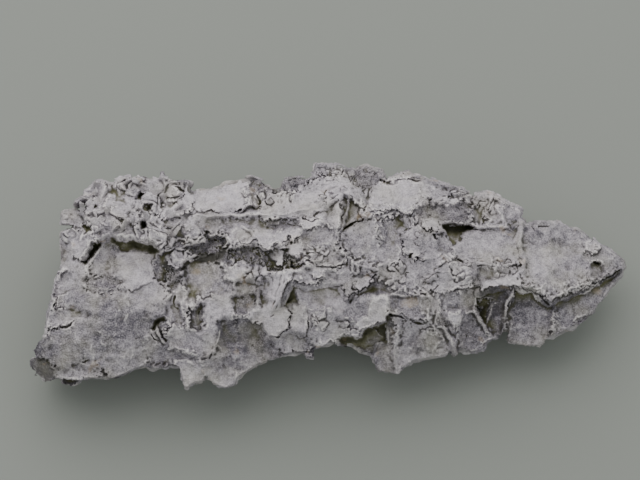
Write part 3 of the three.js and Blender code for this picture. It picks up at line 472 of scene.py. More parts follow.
# the recess under the overhang: a smooth back wall, a slot at its left and a knot at its right
panel([(-55, -1.6), (-51.8, -0.8), (-51.8, -3.4), (-52.6, -7.8), (-56.8, -8.6), (-57.2, -6.8),
    (-55.4, -3.4)], 180, -2.6, 0.2, 0.2)
panel([(-51, 0), (-42, -1.2), (-40.2, -3), (-40, -10.2), (-42.6, -11), (-46, -12.6),
    (-48.4, -10.8), (-50.8, -8), (-50, -6.4), (-49.2, -5.2), (-50.4, -3.8), (-49.8, -2.4)], -90,
    -3.6, 0.2, 0.5, 0.45, curl=0, frill=0.5)
panel([(-40.4, -3.2), (-37.4, -4), (-37.2, -9.6), (-39.8, -10.8), (-40.8, -7)], 180, -2.4, -1.4,
    0.3, -0.6, curl=0)
pit([(-51.4, 0.7), (-50.6, -0.2), (-46.8, -0.4), (-45.4, -0.6), (-42, -1.2), (-39.6, -2.8),
    (-41.6, -2.9), (-50.4, -2.6)], 4.6, 0.9, sugar=0.1, ramp=0)
pit([(-56.4, -0.8), (-53.6, -1.2), (-55.2, -3), (-57.4, -6.2), (-59, -5.6), (-57.6, -3.2)], 5,
    0.5, ramp=0.2)
pit([(-51.8, -1), (-50, -1), (-49.4, -7.4), (-51.2, -8.4)], 3.6, 1, sugar=0.6, ramp=0.6)
sheet([(-57, -10.4), (-53, -9.2), (-48.6, -9.9), (-50, -12), (-54, -13), (-56.8, -12.4)], -90, -2,
    0.2, 0.3, -0.7)
druse([(-57, -10.4), (-53, -9), (-48.6, -9.9), (-50, -12), (-54, -13), (-56.6, -12.4)], 0.8)
slit([(-56.6, -9.4), (-54, -8.8), (-51.6, -8.9), (-48.8, -9.9)], 0.9, 1.8)
pit([(-57.6, -12.4), (-55.6, -12.3), (-53, -13.6), (-55.4, -13.9)], 1.6, 0.8)
pit([(-38.6, -3), (-37, -2.6), (-35.4, -1.8), (-36.6, -3.2), (-38, -4.2)], 2.6, 0.5, sugar=0.3)
pit([(-37.2, -6), (-33, -6.3), (-32.2, -7), (-35.4, -8.2), (-37.2, -7.6)], 2.8, 0.6, sugar=0.6)
sheet([(-36.6, -2.8), (-33, -2.6), (-32, -5.4), (-34.4, -6), (-36.8, -5.6)], -90, -0.8, 1, 0.4,
    over=True)
sheet([(-37.4, -8), (-35.4, -8.6), (-34.6, -11), (-36.4, -13), (-38, -11.6)], 180, -2, -0.4, 0.3,
    -0.6)
druse([(-37.6, -7), (-34.6, -7.6), (-34.4, -11.4), (-36.6, -13)], 0.7)
crest([(-36, -9.4), (-33.6, -8), (-32.2, -7)], 1.6, 0.9)

# the knot of cracks right of the slab
pit([(-42, -21.8), (-40.8, -20), (-38.4, -19), (-37.6, -19.8), (-39.6, -21.2), (-41.2, -22.4)],
    3.6, 0.5)
pit([(-39.8, -21.4), (-38.9, -21), (-38.6, -23.2), (-37.4, -24.8), (-38, -25.2), (-39.2, -23.8)],
    4, 0.4)
crest([(-43.6, -19.6), (-41, -19.2), (-38.4, -18.4)], 1, 1.4)
crest([(-40.4, -21.2), (-39.7, -23.4), (-38.4, -25.4)], 1.6, 0.8)
sheet([(-38.2, -22), (-36, -21), (-34.6, -20.2), (-33.8, -21), (-34.8, -23.8), (-36.6, -23.6),
    (-38, -23)], 110, 0.4, 1.8, 0.2, 0.3, under=0.8)
slit([(-37.6, -23.8), (-35.6, -23.9), (-34.6, -23.6)], 0.7, 1.4)
slit([(-42.8, -20.2), (-41.8, -20)], 0.7, 1)
slit([(-45.4, -24.6), (-44, -24.4)], 0.7, 0.9)
slit([(-41.8, -23.4), (-41.4, -24.6), (-40.2, -25)], 0.7, 1)
crest([(-37.8, -14.6), (-36, -13), (-34.4, -12.4)], 1.4, 1)
sheet([(-36, -13), (-33.6, -11.4), (-32, -13), (-31.8, -17), (-33.8, -21), (-35.4, -19.6),
    (-36.4, -16.6)], 0, -1, 1.2, 0.9, -0.1)
slit([(-35.6, -14), (-35.8, -16.4), (-34.6, -17)], 1.2, 1.4)
crest([(-33.8, -15), (-32.6, -19), (-32.6, -22.6)], 1, 1.6)
panel([(-36.4, -24.4), (-32.6, -22.8), (-31, -22.4), (-28.8, -24), (-29, -27.6), (-33, -27),
    (-37, -26.8)], -90, -0.4, 0.8, 0.9)

# the tall concave panels
panel([(-32, -5.8), (-30, -5.4), (-24, -5.4), (-22.4, -7), (-21.4, -9), (-21.6, -13.6),
    (-27, -14.4), (-31.8, -13.8), (-33, -9.6)], 0, -2.6, 0.6, 1.2, -0.1)
crest([(-31.2, -5), (-32.4, -7.4), (-33.4, -10), (-33.2, -13)], 1.6, 1.3)
panel([(-29.8, -14.2), (-22, -14.4), (-20.4, -17), (-20.6, -18.6), (-24.2, -20.4), (-24.8, -24),
    (-26.6, -27.4), (-28.6, -29), (-29, -25), (-28.6, -19)], 180, 1.4, 0.4, 0.8, 0.35)
panel([(-31.6, -16.6), (-28.9, -16.4), (-28.9, -19.8), (-30.4, -21.6), (-32, -21.4)], 180, -2.2,
    -0.4, 0.2, -0.5)
slit([(-28.9, -17), (-28.9, -19.4), (-30.2, -21.6)], 0.9, 2)
panel([(-24.4, -20.2), (-20.4, -19.4), (-14, -20.2), (-13, -23), (-13.4, -25), (-15.6, -27),
    (-19.4, -27.8), (-24, -27.2), (-25.4, -24.6)], 90, 0.2, -0.6, 1.7, -0.75, curl=0, soft=1.2,
    edge=1.2, frill=0.3)
crest([(-24.6, -20), (-20, -19.2), (-14, -20)], 0.7, 1.2)
crest([(-24, -20), (-24.6, -24), (-26.2, -27.4), (-27.6, -30.6)], 1.2, 1.4)
sheet([(-21.4, -7.4), (-18.4, -8), (-18, -9), (-18, -11), (-20.3, -11.1), (-21.6, -9.4)], -60, 1,
    2.2, 0.2, 0.6, under=0.8)
sheet([(-17.8, -9.4), (-10.6, -9.8), (-10.8, -13), (-12.6, -17), (-15.2, -13), (-20.2, -13.6),
    (-20, -11.2)], -70, -0.6, 0.9, 0.7, -0.1)
flakes(16, (-17.5, -9.6), (-10.5, -7.8), (1, 2.2), (0.2, 1.6), 0.6, 35, (0.3, 1))
slit([(-18, -9), (-15.2, -9.2), (-14.2, -8.6), (-13, -9.6), (-10.6, -9.4)], 0.8, 1.6)
sheet([(-20.6, -14.6), (-16.4, -14.6), (-15.6, -16), (-16.6, -18.2), (-20.4, -19.4)], -90, -1.4,
    0.2, 0.4, -0.6)
druse([(-20.6, -14.6), (-16.4, -14.6), (-15.6, -16), (-16.6, -18.2), (-20.4, -19.2)], 0.5)
slit([(-14.4, -13), (-14.1, -14.4), (-13.8, -16.4)], 1.3, 4)
crest([(-15.2, -12.4), (-15, -16.2), (-13.6, -17.6), (-12.2, -17)], 1.4, 0.8)
slit([(-15.7, -15), (-15.7, -17), (-17.4, -19.2)], 1, 2.4)
sheet([(-16.2, -18), (-14.6, -17.2), (-13, -17.8), (-12.8, -19.6), (-14.4, -20.6), (-16.2, -20)],
    -60, 0.2, 1.2, 1)

# lower middle flaps
pit([(-33.8, -27.8), (-31, -28.4), (-28.4, -30.8), (-30.4, -30.8), (-33, -29.8)], 1.2, 1.2,
    sugar=0.1)
crest([(-36, -26.4), (-32.4, -27.6), (-28.6, -30.8)], 1, 1.2)
panel([(-34.4, -30.4), (-30, -30.4), (-28, -31.2), (-27, -33.6), (-30, -34.6), (-33, -37),
    (-34.2, -35)], -110, 0.4, 1.8, 0.5, 0.2)
panel([(-27, -29), (-22, -28.2), (-17, -29), (-14.6, -30.4), (-17.4, -32), (-20, -35),
    (-23, -36.6), (-27, -35.6), (-28, -32)], -90, 0.2, 1, 0.4)
slit([(-25.6, -25.6), (-26.2, -27), (-27, -28.6)], 1.2, 1.6)

druse([(-26, -29.6), (-16, -28), (-10, -27), (-9, -30), (-18, -33), (-26, -34)], 0.5)
druse([(-24.6, -28), (-22.4, -28), (-22.4, -30), (-24.6, -30)], 0.9)

druse([(-14.6, -22), (-12, -22.6), (-10, -26), (-14, -28), (-17, -27.4)], 0.6)

# the curled horn, the olive hollow inside it and the bowl behind
sheet([(-13.2, -9.8), (-10.4, -10), (-10.6, -14), (-11.8, -18), (-13.8, -16), (-13.2, -13)], 0,
    -0.6, 1.8, 0.6)
panel([(-9.6, -9), (-6, -8.6), (-2, -9), (6.6, -9), (7.6, -14), (6.6, -17.4), (-2, -18),
    (-7, -17.6), (-10.8, -18.4), (-9.6, -14)], 0, -3.6, 0.4, 0, -0.5, curl=0, edge=1.5)
panel([(-5.6, -12.6), (0, -11.4), (6, -10.6), (7.2, -13), (6.2, -17.2), (0, -17.8), (-5, -16.8)],
    -90, -1.6, 0.6, 1, 0.45, curl=0, edge=1.2, frill=0.5)
sheet([(-10.6, -8.8), (-8.4, -7.1), (-6.3, -8), (-6.7, -9.4), (-8.4, -11), (-9.4, -14.6),
    (-10.8, -18), (-12.4, -21.4), (-12.9, -19), (-11.6, -14), (-11, -11)], 0, 0.6, 3.2, 0.1, 0.9,
    under=0.3, curl=0.6, frill=0.5)
crest([(-8.6, -8), (-9.4, -11), (-10.2, -14.6), (-11.4, -18), (-12.6, -21.2)], 1.2, 0.7)
sheet([(-7, -7.4), (-4, -7.8), (1.8, -8.4), (2.4, -9.8), (0, -10.8), (-3, -11.3), (-6.2, -10.2)],
    -80, 0.4, 2.2, 0.9, 0.1)
sheet([(-1.6, -8.2), (1.8, -8.4), (2.2, -9.2), (-1.4, -9.3)], -90, 1.6, 2.2, 0.1, 0.6)
sheet([(2.4, -8.6), (7.6, -8), (7.6, -11), (7, -14.6), (5, -11.2), (2.4, -10.4)], -60, 0.4, 1.4,
    0.5)
sheet([(-11.6, -18.2), (-9.6, -17.4), (-7.6, -17.9), (-6.5, -18.7), (-7.8, -19.8), (-7.5, -20.9),
    (-8.3, -21.5), (-7.7, -22.2), (-10, -23.1), (-11.5, -22.8), (-12.3, -21.2)], -30, 0.6, 2.3,
    0.2, 0.5, under=1.2, frill=0.7)
sheet([(-5.9, -17.5), (-4.4, -17.3), (-3, -17.7), (-2.6, -18.8), (-3.2, -20), (-3, -21.4),
    (-3.8, -22.5), (-4, -24), (-5.5, -24.3), (-6.4, -23.3), (-6, -21.6), (-6.9, -20.4),
    (-6, -19.3)], -30, 0.6, 2.4, 0.2, 0.5, under=1.2, frill=0.7)
sheet([(-2.6, -18.2), (2.8, -18.6), (5.4, -20.6), (4.6, -22), (1, -23), (-2, -22.4)], -70, 0.2,
    1.6, 0.5, 0.2)
sheet([(-2.4, -22.4), (1, -23), (4.6, -22.2), (9.6, -22.6), (10, -24), (6, -23.6), (4.6, -25),
    (2.4, -25.6), (-0.4, -27.4), (-3.4, -25)], -60, 0.4, 2.2, 0.5, 0.3)
sheet([(-9, -23.8), (-4.4, -24.8), (-0.6, -26.8), (-4, -27.6), (-9, -28.4), (-10, -26)], -90,
    -0.6, 0.6, 0.6)
slit([(-6.5, -18.4), (-7.8, -19.6), (-7.4, -21.2)], 0.8, 1.8)
slit([(-8.4, -22.6), (-10.4, -23.6)], 0.8, 1.6)
slit([(-2.8, -20.6), (-2.9, -22.4), (-3.7, -24.4)], 0.7, 1.2)
slit([(-0.6, -23.7), (1, -23.7)], 0.6, 1)
slit([(5.2, -21.4), (8, -22), (9.6, -21.9), (11.4, -21)], 0.8, 1.6)
slit([(-11.6, -19.2), (-10.8, -18.6)], 0.6, 1)
flakes(22, (-1.5, -22.5), (12, -17), (1.2, 2.8), (0.2, 1.4), 0.5, 39, (0, 0.8))

# the shelf over the cave, and the cave
panel([(9.6, -12.6), (13.2, -9.4), (15.8, -9.8), (16.8, -12), (14.6, -13.6), (10, -14.4)], 90,
    -2.6, 0, 0.2, -0.7)
sheet([(6.6, -17), (10.4, -14.6), (13, -14.8), (13.6, -17), (12, -19.4), (8, -20), (5.6, -19)],
    -60, 0, 1, 0.7, -0.1)
sheet([(13, -15.6), (15, -14.8), (17.2, -15.2), (17.4, -17), (16.5, -19), (16.3, -20),
    (14.4, -20.4), (12, -21), (10, -22), (9.6, -20.6), (12.6, -19)], -50, 1.2, 3.2, 0.3, 0.9,
    under=0.8)
sheet([(7.8, -8.4), (10, -7.7), (12.7, -8.2), (12.6, -9.6), (10, -10.1), (8.2, -9.5)], 90, -0.4,
    0.4, 0.8, -0.5)
sheet([(8.8, -10), (12.6, -9.8), (10, -12.6), (8.8, -13)], -60, 0, 1.4, 0.2, 0.3)
slit([(13.8, -8.7), (13, -9.5), (11.4, -11.1), (9.8, -12.8)], 1.1, 2.6)
slit([(8.7, -10.2), (8.2, -12), (8, -14.4), (7.4, -16.8)], 1.1, 2.2)
slit([(14.4, -14.2), (16, -13), (18.4, -12.4)], 0.9, 1.4)
crest([(15.8, -8.4), (14.6, -7.4), (12, -6.4), (8, -5.4)], 1, 1.4)
pit([(4.8, -24.8), (6, -23.7), (7.6, -23.8), (9, -24.3), (10.4, -24.2), (11, -22.8), (12, -21.5),
    (14.5, -21), (16.5, -20), (16.3, -18.7), (17.6, -18.4), (19, -19.6), (18.8, -24), (17.4, -27),
    (16, -29.4), (14, -31), (12.6, -29), (10, -27.6), (5.4, -27.6)], 6, 0.8)

# right of the middle
sheet([(17.2, -14), (20.4, -14), (24, -13.8), (27.8, -14.8), (28, -19), (24, -19.4),
    (21.5, -18.6), (19, -17.7), (17.6, -18)], -80, -0.6, 2.4, 0.9, -0.35)
panel([(18, -18.6), (24.4, -20), (28.4, -21.4), (30.4, -24.6), (32, -27.8), (28, -29),
    (24, -29.4), (21, -32), (19.4, -34.4), (18.2, -31), (18.2, -25)], 180, -0.8, 0.8, 1.2, 0.05)
panel([(25, -22), (28.6, -22), (30.4, -25), (28, -27.4), (24.6, -26)], 90, -0.2, 0, 0.9, -0.35)
sheet([(12.8, -29), (17.4, -26.6), (18.6, -31), (19.2, -34), (16.6, -33.2), (14.2, -32.6)], -90,
    -0.8, 0.2, 0.3, -0.3)

crest([(19.2, -19.4), (18.6, -26), (19.4, -34)], 1.4, 1.8)
crest([(29, -20.4), (31, -23), (32.6, -26), (34.4, -28.4)], 1.8, 1)
crest([(27.6, -20.2), (29.6, -23.4), (32, -27.6)], 1, 0.9)
slit([(16.8, -18.3), (20, -19), (23, -19.8), (26, -20.7)], 1.1, 2.2)
slit([(28, -17.6), (28, -20.2)], 0.8, 1.2)
druse([(21.6, -24), (26, -24), (26, -28), (21.6, -28)], 0.6)
panel([(29.4, -13.6), (33.6, -12.4), (35.8, -11.6), (38.2, -12.6), (38, -15.4), (34.6, -16.8),
    (30.6, -17.4)], 140, -1.2, 0.8, 0.8, -0.3)
panel([(29.6, -18), (34, -17.6), (34.4, -20.6), (33.4, -24), (31, -22), (29.4, -20.6)], 180, -0.6,
    0.6, 0.4, -0.4, sugar=0.5)
sheet([(32.4, -18.6), (34.6, -18.4), (34.2, -20.4), (34.8, -22), (33, -22.2), (32.8, -20.4)], -90,
    1.4, 2.4, 0.1, 0.8, under=0.7)
sheet([(35.4, -17.8), (38.4, -17.4), (40.4, -20.6), (42, -24.2), (40.6, -27), (36, -28.2),
    (34.6, -24)], 0, -1, 0.8, 1, -0.3)
druse([(35, -19), (38, -20), (39.6, -24), (38, -27), (35, -27)], 0.6)
panel([(28, -13.4), (29.6, -14), (29.4, -19), (28.4, -20)], 0, -0.4, 0.8, 0.3, 0.2)
panel([(17, -5.4), (22, -5.2), (28, -5.8), (31.4, -7.6), (32.4, -10), (29, -12.8), (22, -12.8),
    (17.6, -12)], -90, 0.2, 0.8, 1.1, 0.15)
panel([(28.4, -8), (32.6, -8.6), (36.6, -8), (36.6, -11.4), (33, -12.4), (28.6, -13.6)], -60, 0.2,
    1.2, 0.5, 0.2)
crest([(17.2, -13.4), (20, -13.6), (24, -13.3), (27.8, -14.4), (28.2, -18)], 1.2, 0.9)
slit([(20.6, -12.8), (23, -13)], 0.8, 1)
druse([(19, -8.6), (27, -8.6), (27, -12.4), (19, -12.4)], 0.35)
flakes(24, (28, -11), (37, -3.5), (1.4, 3.2), (0, 1.2), 0.6, 42, (-0.2, 0.8))
flakes(40, (8, -12), (36, 7), (0.8, 1.8), (0, 1.8), 0.9, 56, (-0.9, 0.9), 0.5)

# middle top: bright roofs
sheet([(-31.6, 12), (-26, 12.6), (-22.4, 14.8), (-17.6, 15.6), (-17.4, 13.6), (-16.8, 11.6),
    (-15.9, 9.8), (-16.6, 8.7), (-18.6, 8), (-20.6, 7), (-23, 6.4), (-26, 7.4), (-30.6, 7.6)],
    -60, -0.4, 3, 0.8, 1.3, under=1)
panel([(-17.2, 16), (-15, 14.8), (-12.4, 13.4), (-11.8, 12.2), (-13.6, 11.2), (-14.6, 9.8),
    (-15.6, 9.8), (-16.2, 12), (-17.2, 14)], 120, -2.6, -0.6, 0.2, -0.5)
druse([(-17, 15.6), (-13, 13.6), (-11.8, 12.4), (-14, 11), (-15.4, 10.2), (-16.4, 12.6)], 0.5)
flakes(14, (-10.8, 11.8), (-3, 16), (1.2, 2.8), (-1.2, 0.4), 0.6, 43, (-0.7, 0))
druse([(-10.6, 12), (-9.4, 15), (-5, 16.2), (-3.6, 14.8), (-6.4, 12)], 0.9)
sheet([(-14.6, 8.2), (-14.2, 10), (-13, 11.2), (-11.4, 11.4), (-8.4, 11.1), (-7, 11.4),
    (-6, 12.4), (-4.4, 13.6), (-3, 14.6), (0, 15.6), (3, 16), (5.6, 14.6), (7.6, 13.6),
    (6.8, 11.4), (4, 10.6), (1.4, 9.4), (-3, 8.2), (-10, 7.2), (-14.4, 7)], 120, 1.4, 1.6, 0.9,
    0.8, under=0.8)
flakes(44, (-20, -1), (8, 12.5), (0.8, 2), (0.4, 2.2), 0.9, 55, (-0.9, 0.9), 0.5)
sheet([(3.4, 11), (7, 11.4), (8.6, 13.4), (7.6, 16), (3, 17.4), (-1, 17.4), (1, 15.8), (5, 14.4)],
    90, 0.4, -0.6, 0.3, 0.4, over=True)
pit([(-21, 6.5), (-19.4, 7.6), (-16.8, 8.5), (-15.4, 8.2), (-16.4, 6.7), (-19, 6.3)], 1.4, 0.5,
    ramp=0)
slit([(-15.6, 11.6), (-14.9, 9.8), (-15.4, 8.4)], 1.2, 2)
panel([(-34.6, 3.6), (-30, 5.8), (-25, 5.8), (-15.4, 6.6), (-8, 7.4), (-1, 9.4), (0.6, 8.4),
    (-3, 7), (-5, 6), (-10, 5.8), (-15, 5.2), (-20, 4.4), (-25, 3), (-30, 2.4)], -90, 0.6, 1.6,
    0.6, 0.5)
crest([(-30, 6), (-23, 5.6), (-15.4, 6.4), (-10, 6.8), (-3, 7.8), (3.6, 11)], 1.5, 1.5)
sheet([(-30, 3), (-24, 4.2), (-18, 4.6), (-15.4, 5), (-13, 3), (-16, 1.6), (-19.4, 2.4),
    (-22, 1.2), (-28, 0.8)], -90, -0.6, 0.8, 0.8, -0.1)
panel([(-14.8, 5.3), (-8, 5.6), (-7.6, 2.4), (-9.4, 1.6), (-11.4, 2.2), (-12.8, 3.2)], 100, -2.2,
    0.4, 0.3, -0.7)
druse([(-14.6, 5.2), (-8, 5.4), (-7.8, 2.4), (-9.6, 1.9), (-12.6, 3.2)], 0.9)
slit([(-14.8, 5.3), (-12.8, 3.2), (-11, 2), (-9.2, 1.6)], 0.7, 1.2)
sheet([(-7.2, 5.6), (-4.8, 5.4), (-4.4, 3.2), (-7, 2.8)], 90, -1.2, 0.2, 0.2, -0.5, sugar=0.7)
sheet([(-22.6, 1.4), (-20, 2.6), (-17.6, 2), (-16.2, 0), (-17.6, -1.6), (-20, -1.2),
    (-22.4, -1.6)], -80, 0.2, 1.8, 0.6)
crest([(-19.4, 2.8), (-17.2, 1.8), (-16, 0)], 0.9, 1)
sheet([(-15.8, 2), (-9.6, 1.8), (-8.8, 0.2), (-10.4, -0.4), (-12, -1.5), (-15.6, -1)], -90, 0.8,
    2.4, 0.3, 0.55, under=0.7)
sheet([(-10.2, 1.4), (-8.4, 1.2), (-8.4, -1.4), (-9.8, -1.6)], -60, 1, 2, 0.1, 0.4)
sheet([(-4.6, 5), (0.6, 4.9), (0.2, 3.8), (-2, 3.5), (-4, 2.9)], -90, 0.8, 2, 0.1, 0.75,
    under=0.8)
sheet([(-7.4, 2.6), (-4, 2.6), (-4, 2), (-5.2, 1.2), (-6.6, 0.8)], -90, 1, 2, 0.1, 0.8, under=0.8)
panel([(-4, 1.4), (1.6, 3.4), (4.6, 6.6), (4.6, 1.4), (5.2, -0.6), (3, -2.4), (-3.6, -1.2)], -60,
    0, 1.2, 0.8, -0.15)
sheet([(0.8, 4.8), (1.8, 7.4), (4, 7.6), (4, 4.6), (2.6, 3.4)], -80, -0.2, 0.8, 0.4, -0.2)
slit([(-4.6, 5.8), (-2.4, 5.1), (-0.8, 5.3)], 0.7, 1.6)
slit([(-1.7, 6), (-0.9, 7)], 1.2, 1.6)
slit([(-7, 2.2), (-6.7, 0.6), (-6.8, -1.6)], 0.8, 1.8)
slit([(-6.4, 0.6), (-5, 1.2), (-4, 1.7)], 0.7, 1.4)
slit([(1.6, 9.6), (3, 10.2), (4.4, 11)], 0.8, 1.4)
slit([(-4, 2.7), (-1.6, 3.4), (0.6, 3.6)], 0.7, 1.4)
slit([(-12, -1.7), (-10.3, -0.8)], 0.9, 1.6)

# the long dark slot across the middle, crusted inside
pit([(-33.4, -2), (-31.4, -0.8), (-28.9, -0.6), (-29, 2.6), (-27.8, 2.2), (-27.8, 0.6),
    (-24, 0.2), (-23.4, -1), (-24.8, -3), (-26, -3.9), (-28, -3.5), (-31, -3.2)], 5.4, 0.6,
    sugar=1, ramp=0.4)
pit([(-22.8, -2.6), (-19, -2.1), (-15.6, -2.1), (-12.6, -2.6), (-11.6, -3.4), (-13, -5.6),
    (-17, -5.9), (-20, -5.2), (-22.6, -4.8)], 3.8, 0.8, sugar=1)
pit([(-22.4, -2.8), (-21.2, -2.9), (-20.9, -4.6), (-22, -4.9)], 5.6, 0.5, sugar=0.3)
pit([(-19.8, -3.2), (-18.2, -3.2), (-18.4, -4.4), (-19.6, -4.5)], 5.4, 0.5, sugar=0.3)
pit([(-13.8, -3), (-12.6, -3.2), (-10.6, -5), (-9.4, -6.2), (-9.4, -7.3), (-13, -7.5),
    (-13.4, -5.4)], 6, 0.6, sugar=0.5)
pit([(-9.6, -2.3), (-6.8, -1.9), (-5.8, -3.4), (-4.4, -4), (-3.8, -6), (-4.6, -7), (-6.6, -7.3),
    (-8.8, -6.6)], 7, 0.6, sugar=0.3, ramp=0.2)
flakes(26, (-33, -4), (-23.5, 1), (0.8, 2), (-4.4, -1.6), 1, 44, (-1, 0.2), 0.5)
flakes(34, (-22.5, -6), (-9.5, -2.4), (0.8, 2), (-3.6, -1), 1, 45, (-1, 0.4), 0.5)
sheet([(-11.9, -3.5), (-10.8, -3.2), (-9.8, -2.9), (-9.1, -4.4), (-9.4, -5.8), (-10.4, -5.4),
    (-10.6, -4.2)], -60, -0.4, 0.8, 0.1, 1, under=0.6, frill=0.5)
sheet([(-6.2, -1.2), (-4.8, -1), (-4.2, -2.4), (-5, -3.6), (-6.2, -3)], -60, 0.6, 1.6, 0.1, 1,
    frill=0.7)
sheet([(-3.6, -2), (0, -2.4), (4, -2.6), (6.6, -4.4), (4.4, -6.4), (0.6, -7), (-2.4, -4.8)], -70,
    -0.8, 1.4, 0.6, -0.1)
flakes(16, (-5, -5.5), (1.5, -1.5), (1, 2.4), (-0.6, 1.2), 0.8, 46, (-0.3, 0.9))
slit([(-3.6, -3), (-2, -2.9), (-0.6, -3.4)], 0.9, 1.6)
slit([(-3.4, -5), (-1.4, -6.6), (0.8, -7.2), (3, -7), (5.4, -5.6)], 1.1, 2.4)
slit([(0.4, -4.6), (1, -6.2)], 0.9, 1.6)

# right of the slot: the fin and the striated roof
panel([(5.2, -0.6), (6.8, 2), (8.6, 4.2), (10.8, 4.8), (12.6, 5), (12.8, -4), (9, -4.6),
    (6.4, -3)], -150, 1, -0.4, 0.8, -0.05)
sheet([(4.2, 8), (5.2, 7.8), (5, 5.6), (4.9, 3.4), (4.1, 3.6), (4.2, 6)], 0, 0.8, 1.8, 0, 0.9,
    frill=0.6)
panel([(6.4, 9.6), (9.8, 8.4), (10.4, 6), (8.6, 5), (6.4, 3.4), (6.2, 6)], 0, -2, -0.2, 0.2, -0.4)
crest([(6.9, 9.8), (6.2, 6), (5.7, 3)], 2.2, 0.9)
pit([(4.6, 8), (5.6, 7.8), (5.2, 7)], 1.2, 0.4)
pit([(5, 5.9), (5.9, 5.8), (5.4, 4.8)], 1.6, 0.4)
slit([(5.4, 1.2), (6.4, 2.8), (8.2, 4.7), (10.4, 5.3)], 1.3, 2.8)
crest([(13.4, 6.4), (13.2, 0), (13.8, -5)], 0.8, 1.6)
panel([(13.8, 6), (20, 6), (21.6, 3.4), (20.4, 0), (18, -2.2), (15, -2.4), (13.8, 1)], -160, -1.6,
    0.8, 1.2, -0.25)
panel([(13.4, -2.4), (18, -2.6), (20, -4), (17.8, -6), (13.6, -6)], -90, 0.4, 0.8, 0.5)
pit([(22.6, 5.6), (21.8, 4), (21, 1.6), (21.8, 1.4), (22.8, 2.6)], 1.8, sugar=0.3)
flakes(18, (20.6, 1.4), (25, 7), (0.9, 2.2), (-0.4, 1.2), 0.8, 47, (-0.6, 0.8))
sheet([(8, 18.2), (14, 17.2), (17, 16.4), (15.2, 14.4), (12, 13.2), (9.4, 13.2), (8, 15.4)], -90,
    -1.6, 0.2, 0.3, -0.4)
flakes(34, (7.6, 12.6), (16.4, 17.6), (1, 2.6), (-1, 0.8), 0.9, 48, (-0.7, 0.6))
druse([(8.6, 17.6), (16.4, 16.2), (15.4, 13), (9.6, 13)], 0.6)
slit([(13.4, 12.3), (12.6, 10.4), (11.2, 8.2)], 1.9, 4.5)
sheet([(14.4, 12.6), (15.8, 13.6), (18.4, 13.2), (20, 14.1), (26, 14.2), (28, 13), (27.4, 10.4),
    (26.4, 9), (25, 8.2), (23.8, 7), (22, 6.2), (20.4, 6.1), (19.4, 6.9), (17, 7.5), (12.8, 7.7),
    (13.2, 10)], -80, 0.4, 1.8, 1, 0.6, under=0.4)
sheet([(12.8, 7.8), (17, 7.5), (19.2, 6.8), (20, 5.8), (14, 5.6), (12, 5.4)], -90, 0, 0.6, 0.3,
    0.25, over=True)
slit([(15.4, 14.8), (16.6, 14.1), (18.4, 13.8), (20, 14.5), (22.4, 14.9), (26.4, 14.8)], 1.1, 2.2)
slit([(17.2, 7.4), (19.5, 6.8), (20.1, 6)], 0.8, 1.2)
flakes(40, (23.5, 3.8), (38, 12.6), (1, 2.8), (-0.8, 0.6), 0.7, 49, (-0.7, 0.3))
druse([(28, 12.6), (33, 11), (37.6, 9), (37.6, 4.4), (31, 4.6), (25, 5), (23.6, 7), (26, 9)], 1)
panel([(27.4, 9.6), (33, 10.4), (37.4, 8.6), (37.4, 4.8), (31, 4.6), (27.4, 5.4)], -90, -1, -0.6,
    0.3, -0.9, curl=0, sugar=0.9)
sheet([(28, 12.8), (31.6, 12.4), (33, 10.6), (31, 9.8), (28, 9.6)], -80, 0, 1, 0.5, 0.1)
flakes(16, (31, 9.4), (37.6, 13), (1, 2.4), (0, 1), 0.8, 50, (0, 1))
sheet([(37.4, 7.4), (38.6, 8.4), (40.6, 8), (41, 5.4), (39.8, 4.4), (38, 4.8)], 180, -1.4, 0.6,
    0.5, -0.35)
sheet([(41.8, 7.9), (44, 8.2), (44.8, 4.8), (42.4, 4.4)], 180, -0.8, 0.4, 0.5)
crest([(40.6, 8.6), (41.2, 7), (40.4, 4.4)], 1.4, 0.9)
crest([(37, 7.2), (38.6, 8.7), (40.6, 8.8)], 1, 0.8)
crest([(41.6, 8.1), (44.2, 8.3), (45.2, 6), (46.2, 3)], 1.4, 0.9)
flakes(20, (39, 8), (46, 11.4), (1, 2.4), (-0.2, 1), 0.9, 51, (-0.4, 0.8))
slit([(40.2, 4.5), (41.2, 6.6), (41.8, 7)], 0.7, 1)

# the small plate with the crease, and the pale panel left of the big blade
sheet([(20.4, -0.4), (21.6, 0.7), (23.6, 2.2), (25, 2.8), (26.8, 2.4), (28.2, 0.8), (28.2, -2),
    (28.6, -4.2), (26, -4.7), (23.8, -4.3), (22.4, -3.6), (20.6, -3.5)], -140, 0.8, 2, 0.7, 0.15,
    under=0.8)
panel([(24.6, 2), (27.6, 1.6), (28, -2), (27.6, -4.2), (25, -4.2), (24.4, -1)], 180, 0.2, 1.4,
    0.7, -0.1)
sheet([(25.4, 3.3), (27, 4.3), (29.8, 4.2), (30.6, 3.4), (29, 1.8), (27.4, 2.3)], -110, 1, 1.8,
    0.3, 0.6, under=0.6)
pit([(22, -3.4), (23.2, -3.2), (23, -4.4), (22.2, -4.2)], 1.6, 0.4)
pit([(20.2, -0.2), (20.8, -0.6), (20.6, -1.6)], 1.4, 0.4)
pit([(28.4, 1), (29.8, 0.6), (29.4, -0.4), (28.5, 0)], 2, 0.5)
slit([(24, -4.4), (26, -4.9), (29.6, -4.3)], 0.8, 1.6)
slit([(21.6, 3.2), (22.4, 2.4), (23, 4.4)], 0.9, 1.4)
slit([(26, 4.5), (28, 4.9)], 0.8, 1.4)
sheet([(29.4, 1), (31, 1.8), (33, -1.4), (32, -2.8), (29.6, -2.4)], 90, -0.4, 0.6, 0.4, -0.35)
